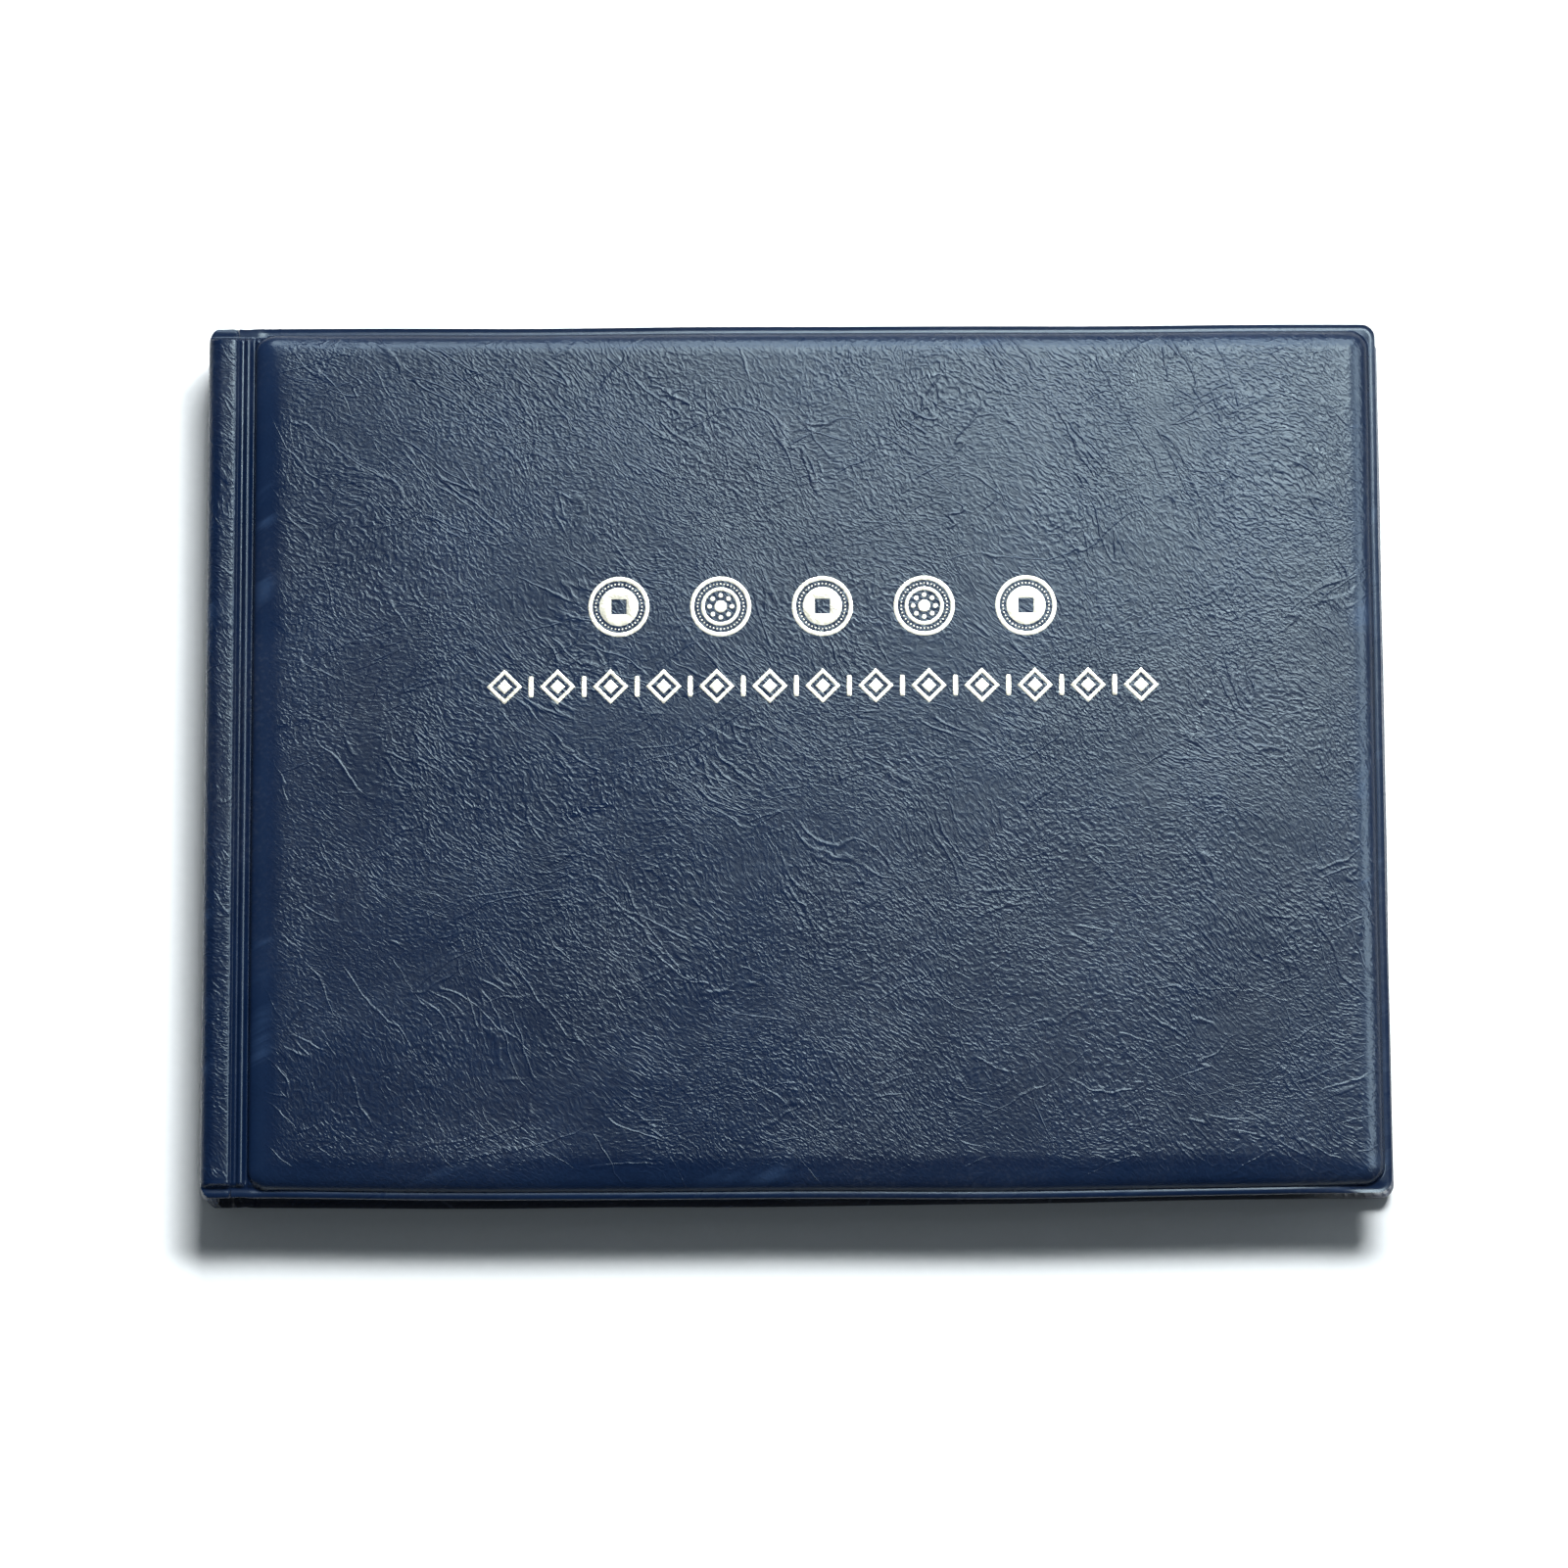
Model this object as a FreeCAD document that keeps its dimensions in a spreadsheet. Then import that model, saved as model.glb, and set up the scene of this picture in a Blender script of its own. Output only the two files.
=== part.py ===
import FreeCAD, Part
import Sketcher
import math
import os

# Coin album: a padded PVC case with hinged covers and ten bound leaves of coin pockets.
# Frame: X runs from the spine to the fore-edge, Y from the near edge to the far edge, Z up.
# The origin is the centre of the underside of the closed album.

os.makedirs("parts", exist_ok=True)
doc = FreeCAD.newDocument("coin_album")

# ---------------------------------------------------------------- driving dimensions (mm)

DRIVING = [
    ("album_width", 200.0, "spine face to fore-edge"),
    ("album_depth", 150.0, "near edge to far edge"),
    ("skin_thickness", 0.4, "grained outer PVC"),
    ("foam_thickness", 1.4, "padding under the skin"),
    ("board_thickness", 1.6, "grey board in covers and strips"),
    ("liner_thickness", 0.3, "smooth inner PVC"),
    ("binding_height", 12.5, "clear height between the two liners"),
    ("cover_corner_radius", 2.3, "outer corners of the covers"),
    ("flange_width", 2.5, "flat welded border of a cover"),
    ("bead_width", 0.8, "rolled outer rim of the border"),
    ("bead_height", 0.25, "rise of the rim over the border"),
    ("pad_edge_radius", 1.5, "rounding of the padded panel"),
    ("pad_corner_radius", 3.0, "plan corners of the padded panel"),
    ("strip_width", 5.0, "narrow strip beside the spine"),
    ("groove_width", 3.2, "welded hinge between strip and cover"),
    ("groove_depth", 1.6, "hinge film below the padded panel"),
    ("film_thickness", 0.5, "skin and liner welded together"),
    ("spine_corner_radius", 2.4, "spine edges"),
    ("spine_board_thickness", 1.2, "board in the spine"),
    ("board_gap", 0.3, "play round each board and foam"),
    ("leaf_count", 10, "leaves in the album"),
    ("leaf_end_margin", 5.0, "leaf edge inside the fore-edge"),
    ("leaf_side_margin", 6.0, "leaf edge inside the near and far edges"),
    ("leaf_corner_radius", 2.5, "outer corners of a leaf"),
    ("sheet_thickness", 0.18, "clear PVC of backing and pockets"),
    ("seam_height", 0.24, "room inside an empty pocket"),
    ("seam_width", 0.9, "welded seam between pockets"),
    ("pocket_columns", 6, "pockets across a leaf"),
    ("pocket_rows", 4, "pockets up a leaf"),
    ("mouth_gap", 1.2, "slit at the mouth of each pocket"),
    ("tab_thickness", 0.3, "coloured binding tab"),
    ("tab_reach", 14.2, "flexible part of the tab"),
    ("binding_width", 5.8, "bound edge inside the spine"),
    ("binding_play", 0.1, "gap between binding and spine liner"),
    ("rivet_count", 3, "rivets through the binding"),
    ("rivet_spacing", 50.0, "rivet to rivet"),
    ("rivet_shank_radius", 1.1, "rivet body"),
    ("rivet_bore_radius", 0.6, "hollow of the rivet"),
    ("rivet_head_radius", 2.1, "rolled rivet head"),
    ("rivet_head_height", 0.45, "thickness of a head"),
    ("rivet_clearance", 0.08, "play of the rivet in the tabs"),
    ("foil_thickness", 0.1, "stamped ornament"),
    ("roundel_count", 5, "coin roundels on the cover"),
    ("roundel_radius", 5.2, "outer rim of a roundel"),
    ("roundel_rim", 0.7, "width of its rim"),
    ("roundel_pitch", 17.3, "roundel to roundel"),
    ("roundel_row", 25.4, "row of roundels from the near-far middle"),
    ("band_row", 11.6, "ornament band from the near-far middle"),
    ("band_length", 117.0, "whole band"),
    ("band_height", 6.0, "lozenges of the band"),
    ("band_lozenges", 13, "lozenges in the band"),
    ("ornament_shift", 5.0, "ornament towards the fore-edge"),
]

sheet = doc.addObject("Spreadsheet::Sheet", "Sizes")
for row, (alias, value, note) in enumerate(DRIVING, start=1):
    sheet.set(f"A{row}", note)
    sheet.set(f"B{row}", str(value))
    sheet.setAlias(f"B{row}", alias)
doc.recompute()


def count(alias):
    """A whole number from the sheet, for a loop."""
    return int(round(float(sheet.get(alias))))


# ---------------------------------------------------------------- places worked out from them

def s(alias):
    return f"Sizes.{alias}"


COVER = f"({s('skin_thickness')} + {s('foam_thickness')} + {s('board_thickness')} + {s('liner_thickness')})"
STRIP = f"({s('skin_thickness')} + {s('board_thickness')} + {s('liner_thickness')})"
FRONT_LINER = f"({COVER} + {s('binding_height')})"
CASE_TOP = f"({COVER} * 2 + {s('binding_height')})"
SPINE_X = f"(-{s('album_width')} / 2)"
GROOVE_X = f"({SPINE_X} + {s('strip_width')})"
PANEL_X = f"({GROOVE_X} + {s('groove_width')})"
PANEL_WIDTH = f"({s('album_width')} - {s('strip_width')} - {s('groove_width')})"
PANEL_MIDDLE = f"({PANEL_X} + {PANEL_WIDTH} / 2)"
PAD_WIDTH = f"({PANEL_WIDTH} - {s('flange_width')})"
PAD_DEPTH = f"({s('album_depth')} - 2 * {s('flange_width')})"
PAD_SHIFT = f"(-{s('flange_width')} / 2)"
CORE_WIDTH = f"({PAD_WIDTH} - 2 * {s('skin_thickness')} - {s('board_gap')})"
CORE_DEPTH = f"({PAD_DEPTH} - 2 * {s('skin_thickness')} - {s('board_gap')})"
CORE_RADIUS = f"({s('pad_corner_radius')} - {s('skin_thickness')})"
SPINE_BOTTOM = f"({COVER} - {STRIP})"
SPINE_HEIGHT = f"({s('binding_height')} + 2 * {STRIP})"
SPINE_WALL = f"({s('skin_thickness')} + {s('spine_board_thickness')} + {s('liner_thickness')})"
SPINE_LINER_X = f"({SPINE_X} + {s('skin_thickness')} + {s('spine_board_thickness')})"
FILM_TOP = f"({CASE_TOP} - {s('groove_depth')})"
BINDING_X = f"({SPINE_X} + {SPINE_WALL} + {s('binding_play')})"
LEAF_X = f"({BINDING_X} + {s('binding_width')} + {s('tab_reach')})"
LEAF_WIDTH = f"({s('album_width')} / 2 - {s('leaf_end_margin')} - {LEAF_X})"
LEAF_DEPTH = f"({s('album_depth')} - 2 * {s('leaf_side_margin')})"
LEAF_THICKNESS = f"(2 * {s('sheet_thickness')} + {s('seam_height')})"
STACK_BOTTOM = f"({COVER} + {s('binding_play')} + {s('rivet_head_height')})"
STACK_HEIGHT = f"({s('binding_height')} - 2 * {s('binding_play')} - 2 * {s('rivet_head_height')})"
LEAF_PITCH = f"({STACK_HEIGHT} / {s('leaf_count')})"
COLUMN_PITCH = f"(({LEAF_WIDTH} - {s('seam_width')}) / {s('pocket_columns')})"
ROW_PITCH = f"(({LEAF_DEPTH} - {s('seam_width')}) / {s('pocket_rows')})"
RIVET_X = f"({BINDING_X} + {s('binding_width')} / 2)"


def leaf_level(number):
    """Middle height of leaf NUMBER, counted from 1 at the top."""
    return f"({STACK_BOTTOM} + {LEAF_PITCH} * ({s('leaf_count')} - {number} + 0.5))"


# ---------------------------------------------------------------- modelling helpers

PARTS = []


def bind(thing, **expressions):
    """Bind properties to expressions: double underscores stand for dots."""
    for name, expression in expressions.items():
        thing.setExpression(name.replace("__", "."), expression)


def place(thing, x="0", y="0", z="0"):
    bind(thing, Placement__Base__x=x, Placement__Base__y=y, Placement__Base__z=z)


def turn(thing, axis, degrees):
    """Turn a sub-part about a direction through its own origin, before it is placed."""
    thing.Placement = FreeCAD.Placement(FreeCAD.Vector(), FreeCAD.Rotation(FreeCAD.Vector(*axis), degrees))


def keep(thing, label):
    """Mark an object as a sub-part of the album."""
    thing.Label = label
    PARTS.append(thing)
    return thing


def box(name, width, depth, height, x, y, z):
    """A Part::Box whose X, Y and Z sizes and lowest corner are expressions."""
    block = doc.addObject("Part::Box", name)
    bind(block, Length=width, Width=depth, Height=height)
    place(block, x, y, z)
    return block


def centred_box(name, width, depth, height, x, y, z):
    """A Part::Box whose X and Y centre is at x, y and whose bottom is at z."""
    return box(name, width, depth, height, f"{x} - {width} / 2", f"{y} - {depth} / 2", z)


def cylinder(name, radius, height, x, y, z):
    round_bar = doc.addObject("Part::Cylinder", name)
    bind(round_bar, Radius=radius, Height=height)
    place(round_bar, x, y, z)
    return round_bar


def cut(name, base, tool):
    result = doc.addObject("Part::Cut", name)
    result.Base = base
    result.Tool = tool
    return result


def group(name, members):
    """Separate solids kept together as one sub-part or one tool."""
    result = doc.addObject("Part::Compound", name)
    result.Links = members
    return result


def origin_plane(body, role):
    return next(f for f in body.Origin.OriginFeatures if f.Role == role)


def new_sketch(body, name, role="XY_Plane", dx="0", dy="0", dz="0"):
    """A sketch on one of the body's origin planes, moved by dx, dy and dz."""
    sketch = body.newObject("Sketcher::SketchObject", name)
    sketch.AttachmentSupport = (origin_plane(body, role), [""])
    sketch.MapMode = "FlatFace"
    bind(sketch, AttachmentOffset__Base__x=dx, AttachmentOffset__Base__y=dy, AttachmentOffset__Base__z=dz)
    return sketch


def rectangle(sketch, width, depth, tag=""):
    """A rectangle centred on the sketch's origin. width and depth are expressions."""
    vector = FreeCAD.Vector
    corners = [vector(-9, -6, 0), vector(9, -6, 0), vector(9, 6, 0), vector(-9, 6, 0)]
    first = sketch.GeometryCount
    for here, there in zip(corners, corners[1:] + corners[:1]):
        sketch.addGeometry(Part.LineSegment(here, there), False)
    for i in range(4):
        sketch.addConstraint(Sketcher.Constraint("Coincident", first + i, 2, first + (i + 1) % 4, 1))
    for i in (0, 2):
        sketch.addConstraint(Sketcher.Constraint("Horizontal", first + i))
    for i in (1, 3):
        sketch.addConstraint(Sketcher.Constraint("Vertical", first + i))
    sketch.addConstraint(Sketcher.Constraint("Symmetric", first, 1, first + 2, 1, -1, 1))
    across = sketch.addConstraint(Sketcher.Constraint("DistanceX", first, 1, first, 2, 18.0))
    along = sketch.addConstraint(Sketcher.Constraint("DistanceY", first + 1, 1, first + 1, 2, 12.0))
    sketch.renameConstraint(across, f"width{tag}")
    sketch.renameConstraint(along, f"depth{tag}")
    sketch.setExpression(f"Constraints.width{tag}", width)
    sketch.setExpression(f"Constraints.depth{tag}", depth)


def rounded_rectangle(sketch, width, depth, radius, tag=""):
    """A rectangle with four equal round corners, centred on the sketch's origin."""
    vector = FreeCAD.Vector
    a, b, r = 9.0, 6.0, 1.0
    sides = [
        (vector(-a + r, -b, 0), vector(a - r, -b, 0)),
        (vector(a, -b + r, 0), vector(a, b - r, 0)),
        (vector(a - r, b, 0), vector(-a + r, b, 0)),
        (vector(-a, b - r, 0), vector(-a, -b + r, 0)),
    ]
    centres = [
        vector(a - r, -b + r, 0), vector(a - r, b - r, 0),
        vector(-a + r, b - r, 0), vector(-a + r, -b + r, 0),
    ]
    first = sketch.GeometryCount
    for here, there in sides:
        sketch.addGeometry(Part.LineSegment(here, there), False)
    for i, centre in enumerate(centres):
        start = -math.pi / 2 + i * math.pi / 2
        circle = Part.Circle(centre, vector(0, 0, 1), r)
        sketch.addGeometry(Part.ArcOfCircle(circle, start, start + math.pi / 2), False)
    for i in range(4):
        arc = first + 4 + i
        sketch.addConstraint(Sketcher.Constraint("Tangent", first + i, 2, arc, 1))
        sketch.addConstraint(Sketcher.Constraint("Tangent", arc, 2, first + (i + 1) % 4, 1))
    for i in (0, 2):
        sketch.addConstraint(Sketcher.Constraint("Horizontal", first + i))
    for i in (1, 3):
        sketch.addConstraint(Sketcher.Constraint("Vertical", first + i))
    for i in (5, 6, 7):
        sketch.addConstraint(Sketcher.Constraint("Equal", first + 4, first + i))
    sketch.addConstraint(Sketcher.Constraint("Symmetric", first + 4, 3, first + 6, 3, -1, 1))
    corner = sketch.addConstraint(Sketcher.Constraint("Radius", first + 4, r))
    across = sketch.addConstraint(Sketcher.Constraint("DistanceX", first + 3, 1, first + 1, 1, 2 * a))
    along = sketch.addConstraint(Sketcher.Constraint("DistanceY", first, 1, first + 2, 1, 2 * b))
    sizes = [(corner, "radius", radius), (across, "width", width), (along, "depth", depth)]
    for index, name, expression in sizes:
        sketch.renameConstraint(index, f"{name}{tag}")
        sketch.setExpression(f"Constraints.{name}{tag}", expression)


def pad(body, name, sketch, length):
    feature = body.newObject("PartDesign::Pad", name)
    feature.Profile = sketch
    bind(feature, Length=length)
    return feature


def edges_where(shape, wanted):
    return [f"Edge{i}" for i, edge in enumerate(shape.Edges, start=1) if wanted(edge.BoundBox)]


def faces_where(shape, wanted):
    return [f"Face{i}" for i, face in enumerate(shape.Faces, start=1) if wanted(face.BoundBox)]


def same(a, b):
    return abs(a - b) < 1e-5


def fillet(body, name, base, edges, radius):
    feature = body.newObject("PartDesign::Fillet", name)
    feature.Base = (base, edges)
    bind(feature, Radius=radius)
    return feature


def plate(label, width, depth, radius, thickness, x, z):
    """A flat sheet or board with round corners, centred in Y."""
    body = keep(doc.addObject("PartDesign::Body", label), label)
    outline = new_sketch(body, f"{label}_outline")
    rounded_rectangle(outline, width, depth, radius)
    pad(body, f"{label}_sheet", outline, thickness)
    place(body, x, "0", z)
    return body


# ---------------------------------------------------------------- covers

def cover_skin(label, flipped):
    """Outer skin of a cover: padded panel, welded border on three sides, and a rolled rim."""
    body = keep(doc.addObject("PartDesign::Body", label), label)
    rise = f"({s('skin_thickness')} + {s('foam_thickness')} + {s('board_thickness')})"
    panel = new_sketch(body, f"{label}_panel", dx=PAD_SHIFT)
    rounded_rectangle(panel, PAD_WIDTH, PAD_DEPTH, s("pad_corner_radius"))
    block = pad(body, f"{label}_block", panel, rise)
    doc.recompute()
    top = block.Shape.BoundBox.ZMax
    rounded = fillet(
        body, f"{label}_edge", block,
        edges_where(block.Shape, lambda e: same(e.ZMin, top)), s("pad_edge_radius"),
    )
    doc.recompute()
    shell = body.newObject("PartDesign::Thickness", f"{label}_shell")
    shell.Base = (rounded, faces_where(rounded.Shape, lambda f: same(f.ZMax, 0)))
    shell.Reversed = True
    shell.Mode = 0
    shell.Join = 0
    bind(shell, Value=s("skin_thickness"))
    doc.recompute()
    border = new_sketch(body, f"{label}_border")
    rounded_rectangle(border, PANEL_WIDTH, s("album_depth"), s("cover_corner_radius"))
    pad(body, f"{label}_flange", border, s("skin_thickness"))
    rim = new_sketch(body, f"{label}_rim", dz=s("skin_thickness"))
    rounded_rectangle(rim, PANEL_WIDTH, s("album_depth"), s("cover_corner_radius"), "_out")
    rounded_rectangle(
        rim, f"{PANEL_WIDTH} - 2 * {s('bead_width')}", f"{s('album_depth')} - 2 * {s('bead_width')}",
        f"({s('cover_corner_radius')} - {s('bead_width')})", "_in",
    )
    pad(body, f"{label}_bead", rim, s("bead_height"))
    inside = new_sketch(body, f"{label}_inside", dx=PAD_SHIFT)
    rounded_rectangle(
        inside, f"{PAD_WIDTH} - 2 * {s('skin_thickness')}", f"{PAD_DEPTH} - 2 * {s('skin_thickness')}",
        CORE_RADIUS,
    )
    opening = body.newObject("PartDesign::Pocket", f"{label}_opening")
    opening.Profile = inside
    opening.Reversed = True
    bind(opening, Length=f"{s('skin_thickness')} + {s('bead_height')}")
    if flipped:
        turn(body, (1, 0, 0), 180)
        place(body, PANEL_MIDDLE, "0", f"{COVER} - {s('liner_thickness')}")
    else:
        place(body, PANEL_MIDDLE, "0", f"{FRONT_LINER} + {s('liner_thickness')}")
    return body


def cover_foam(label, flipped):
    """Padding between the skin and the board, with the skin's rounded edge."""
    body = keep(doc.addObject("PartDesign::Body", label), label)
    outline = new_sketch(body, f"{label}_outline")
    rounded_rectangle(outline, CORE_WIDTH, CORE_DEPTH, CORE_RADIUS)
    block = pad(body, f"{label}_block", outline, s("foam_thickness"))
    doc.recompute()
    top = block.Shape.BoundBox.ZMax
    fillet(
        body, f"{label}_edge", block,
        edges_where(block.Shape, lambda e: same(e.ZMin, top)),
        f"{s('pad_edge_radius')} - {s('skin_thickness')}",
    )
    middle = f"{PANEL_MIDDLE} + {PAD_SHIFT}"
    if flipped:
        turn(body, (1, 0, 0), 180)
        place(body, middle, "0", f"{s('skin_thickness')} + {s('foam_thickness')}")
    else:
        place(body, middle, "0", f"{CASE_TOP} - {s('skin_thickness')} - {s('foam_thickness')}")
    return body


def cover(side, flipped):
    """Skin, foam, board and liner of one cover."""
    cover_skin(f"{side}_cover_skin", flipped)
    cover_foam(f"{side}_cover_foam", flipped)
    if flipped:
        board_z = f"{s('skin_thickness')} + {s('foam_thickness')}"
        liner_z = f"{COVER} - {s('liner_thickness')}"
    else:
        board_z = f"{FRONT_LINER} + {s('liner_thickness')}"
        liner_z = FRONT_LINER
    plate(
        f"{side}_cover_board", CORE_WIDTH, CORE_DEPTH, CORE_RADIUS, s("board_thickness"),
        f"{PANEL_MIDDLE} + {PAD_SHIFT}", board_z,
    )
    plate(
        f"{side}_cover_liner", PANEL_WIDTH, s("album_depth"), s("cover_corner_radius"), s("liner_thickness"),
        PANEL_MIDDLE, liner_z,
    )


cover("front", False)
cover("back", True)


# ---------------------------------------------------------------- spine, strips and hinge films

def channel(label, x, z, reach, height, radius, wall):
    """A U of sheet open towards +X, rounded on the spine side."""
    body = keep(doc.addObject("PartDesign::Body", label), label)
    outline = new_sketch(body, f"{label}_outline")
    rectangle(outline, reach, s("album_depth"))
    block = pad(body, f"{label}_block", outline, height)
    doc.recompute()
    near = block.Shape.BoundBox.XMin
    long_edges = edges_where(block.Shape, lambda e: same(e.XMax, near) and e.YLength > e.ZLength)
    rounded = fillet(body, f"{label}_corner", block, long_edges, radius)
    doc.recompute()
    bounds = rounded.Shape.BoundBox
    open_faces = faces_where(
        rounded.Shape,
        lambda f: same(f.XMin, bounds.XMax) or same(f.YMin, bounds.YMax) or same(f.YMax, bounds.YMin),
    )
    shell = body.newObject("PartDesign::Thickness", f"{label}_shell")
    shell.Base = (rounded, open_faces)
    shell.Reversed = True
    shell.Mode = 0
    shell.Join = 0
    bind(shell, Value=wall)
    place(body, f"{x} + {reach} / 2", "0", z)
    return body


def strip_board(label, z):
    """The narrow board beside the spine."""
    width = f"({s('strip_width')} - max({SPINE_WALL}; {s('spine_corner_radius')}) - {s('board_gap')})"
    middle = f"({GROOVE_X} - {s('board_gap')} / 2 - {width} / 2)"
    return keep(centred_box(label, width, PAD_DEPTH, s("board_thickness"), middle, "0", z), label)


def hinge_film(label, z):
    """Skin and liner welded flat: the groove that the cover bends at."""
    return keep(
        centred_box(
            label, s("groove_width"), s("album_depth"), s("film_thickness"),
            f"{GROOVE_X} + {s('groove_width')} / 2", "0", z,
        ),
        label,
    )


channel(
    "spine_skin", SPINE_X, SPINE_BOTTOM, s("strip_width"), SPINE_HEIGHT,
    s("spine_corner_radius"), s("skin_thickness"),
)
channel(
    "spine_liner", SPINE_LINER_X, f"{COVER} - {s('liner_thickness')}",
    f"({s('strip_width')} - {s('skin_thickness')} - {s('spine_board_thickness')})",
    f"({s('binding_height')} + 2 * {s('liner_thickness')})",
    f"({s('liner_thickness')} * 1.5)", s("liner_thickness"),
)
spine_board_height = f"({SPINE_HEIGHT} - 2 * {s('spine_corner_radius')})"
keep(
    centred_box(
        "spine_board", f"({s('spine_board_thickness')} - {s('board_gap')} / 3)", PAD_DEPTH,
        spine_board_height,
        f"({SPINE_X} + {s('skin_thickness')} + {s('spine_board_thickness')} / 2)", "0",
        f"{SPINE_BOTTOM} + {s('spine_corner_radius')}",
    ),
    "spine_board",
)
strip_board("front_strip_board", f"{FRONT_LINER} + {s('liner_thickness')}")
strip_board("back_strip_board", f"{COVER} - {s('liner_thickness')} - {s('board_thickness')}")
hinge_film("front_hinge_film", f"{FILM_TOP} - {s('film_thickness')}")
hinge_film("back_hinge_film", s("groove_depth"))


# ---------------------------------------------------------------- binding

def rivet_rows():
    """Y place of each rivet, as expressions."""
    number = count("rivet_count")
    return [f"({s('rivet_spacing')} * ({i} - ({s('rivet_count')} - 1) / 2))" for i in range(number)]


def rivet_bores():
    """Round tools for the holes that the rivets pass through."""
    radius = f"({s('rivet_shank_radius')} + {s('rivet_clearance')})"
    tools = [
        cylinder(f"rivet_bore_{i}", radius, s("binding_height"), RIVET_X, y, COVER)
        for i, y in enumerate(rivet_rows(), start=1)
    ]
    return group("rivet_bores", tools)


def rivet(number, y):
    """A tubular rivet: a hollow shank with a rolled head at each end."""
    bottom = f"({COVER} + {s('binding_play')})"
    height = f"({s('binding_height')} - 2 * {s('binding_play')})"
    top_head = f"({bottom} + {height} - {s('rivet_head_height')})"
    head = (s("rivet_head_radius"), s("rivet_head_height"), RIVET_X, y)
    shank = cylinder(f"rivet_shank_{number}", s("rivet_shank_radius"), height, RIVET_X, y, bottom)
    low = cylinder(f"rivet_low_{number}", *head, bottom)
    high = cylinder(f"rivet_high_{number}", *head, top_head)
    joined = doc.addObject("Part::MultiFuse", f"rivet_body_{number}")
    joined.Shapes = [shank, low, high]
    hollow = cylinder(f"rivet_hollow_{number}", s("rivet_bore_radius"), height, RIVET_X, y, bottom)
    return cut(f"rivet_{number}", joined, hollow)


bores = rivet_bores()
keep(group("binding_rivets", [rivet(i, y) for i, y in enumerate(rivet_rows(), start=1)]), "binding_rivets")


def spacer(number, z, thickness):
    """A bar between two bound edges, drilled for the rivets."""
    blank = centred_box(
        f"spacer_blank_{number}", s("binding_width"), LEAF_DEPTH, thickness, RIVET_X, "0", z,
    )
    return cut(f"spacer_{number}", blank, bores)


def leaf_spacers():
    """Bars between the tabs, and a thinner one above and below the stack."""
    gap = f"({LEAF_PITCH} - {s('tab_thickness')})"
    number = count("leaf_count")
    bars = [spacer("top", f"{leaf_level(1)} + {s('tab_thickness')} / 2", f"({gap} / 2)")]
    for i in range(1, number):
        bars.append(spacer(i, f"{leaf_level(i)} - {s('tab_thickness')} / 2 - {gap}", gap))
    bars.append(spacer("bottom", STACK_BOTTOM, f"({gap} / 2)"))
    return group("leaf_spacers", bars)


keep(leaf_spacers(), "leaf_spacers")


# ---------------------------------------------------------------- leaves

def binding_tab(label, number):
    """Coloured strip: its bound edge is riveted, the rest bends as the leaf turns."""
    width = f"({s('binding_width')} + {s('tab_reach')})"
    blank = box(
        f"{label}_blank", width, LEAF_DEPTH, s("tab_thickness"),
        BINDING_X, f"-{LEAF_DEPTH} / 2", f"{leaf_level(number)} - {s('tab_thickness')} / 2",
    )
    return keep(cut(label, blank, bores), label)


def leaf_backing(label, number):
    """Clear back sheet with the welded seams that part the pockets."""
    body = keep(doc.addObject("PartDesign::Body", label), label)
    outline = new_sketch(body, f"{label}_outline")
    rounded_rectangle(outline, LEAF_WIDTH, LEAF_DEPTH, s("leaf_corner_radius"))
    pad(body, f"{label}_sheet", outline, s("sheet_thickness"))
    raised = f"({s('sheet_thickness')} + {s('seam_height')})"
    inner_width = f"({LEAF_WIDTH} - 2 * {s('leaf_corner_radius')})"
    inner_depth = f"({LEAF_DEPTH} - 2 * {s('leaf_corner_radius')})"
    for name, width, depth, shift, copies, axis, pitch in (
        ("column", s("seam_width"), inner_depth, "dx", "pocket_columns", "X_Axis", COLUMN_PITCH),
        ("row", inner_width, s("seam_width"), "dy", "pocket_rows", "Y_Axis", ROW_PITCH),
    ):
        start = f"(-{pitch} * {s(copies)} / 2)"
        line = new_sketch(body, f"{label}_{name}", **{shift: start})
        rectangle(line, width, depth)
        seam = pad(body, f"{label}_{name}_seam", line, raised)
        pattern = body.newObject("PartDesign::LinearPattern", f"{label}_{name}_seams")
        pattern.Originals = [seam]
        pattern.Direction = (origin_plane(body, axis), [""])
        bind(pattern, Length=f"{pitch} * {s(copies)}", Occurrences=f"{s(copies)} + 1")
        body.Tip = pattern
        doc.recompute()
    place(body, f"{LEAF_X} + {LEAF_WIDTH} / 2", "0", f"{leaf_level(number)} - {LEAF_THICKNESS} / 2")
    return body


def pocket_strips(label, number):
    """Clear front strips: one for each row of pockets, open along its upper edge."""
    level = f"({leaf_level(number)} + {LEAF_THICKNESS} / 2 - {s('sheet_thickness')})"
    strips = []
    for i in range(count("pocket_rows")):
        strips.append(box(
            f"{label}_{i + 1}", LEAF_WIDTH, f"({ROW_PITCH} - {s('mouth_gap')})", s("sheet_thickness"),
            LEAF_X, f"(-{LEAF_DEPTH} / 2 + {s('seam_width')} / 2 + {ROW_PITCH} * {i})", level,
        ))
    return keep(group(label, strips), label)


for leaf in range(1, count("leaf_count") + 1):
    leaf_backing(f"leaf_{leaf:02d}_backing", leaf)
    pocket_strips(f"leaf_{leaf:02d}_pocket_strips", leaf)
    binding_tab(f"leaf_{leaf:02d}_tab", leaf)


# ---------------------------------------------------------------- stamped ornament

def ring(name, outer, inner, x, y):
    disc = cylinder(f"{name}_disc", outer, s("foil_thickness"), x, y, CASE_TOP)
    hole = cylinder(f"{name}_hole", inner, s("foil_thickness"), x, y, CASE_TOP)
    return cut(name, disc, hole)


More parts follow.
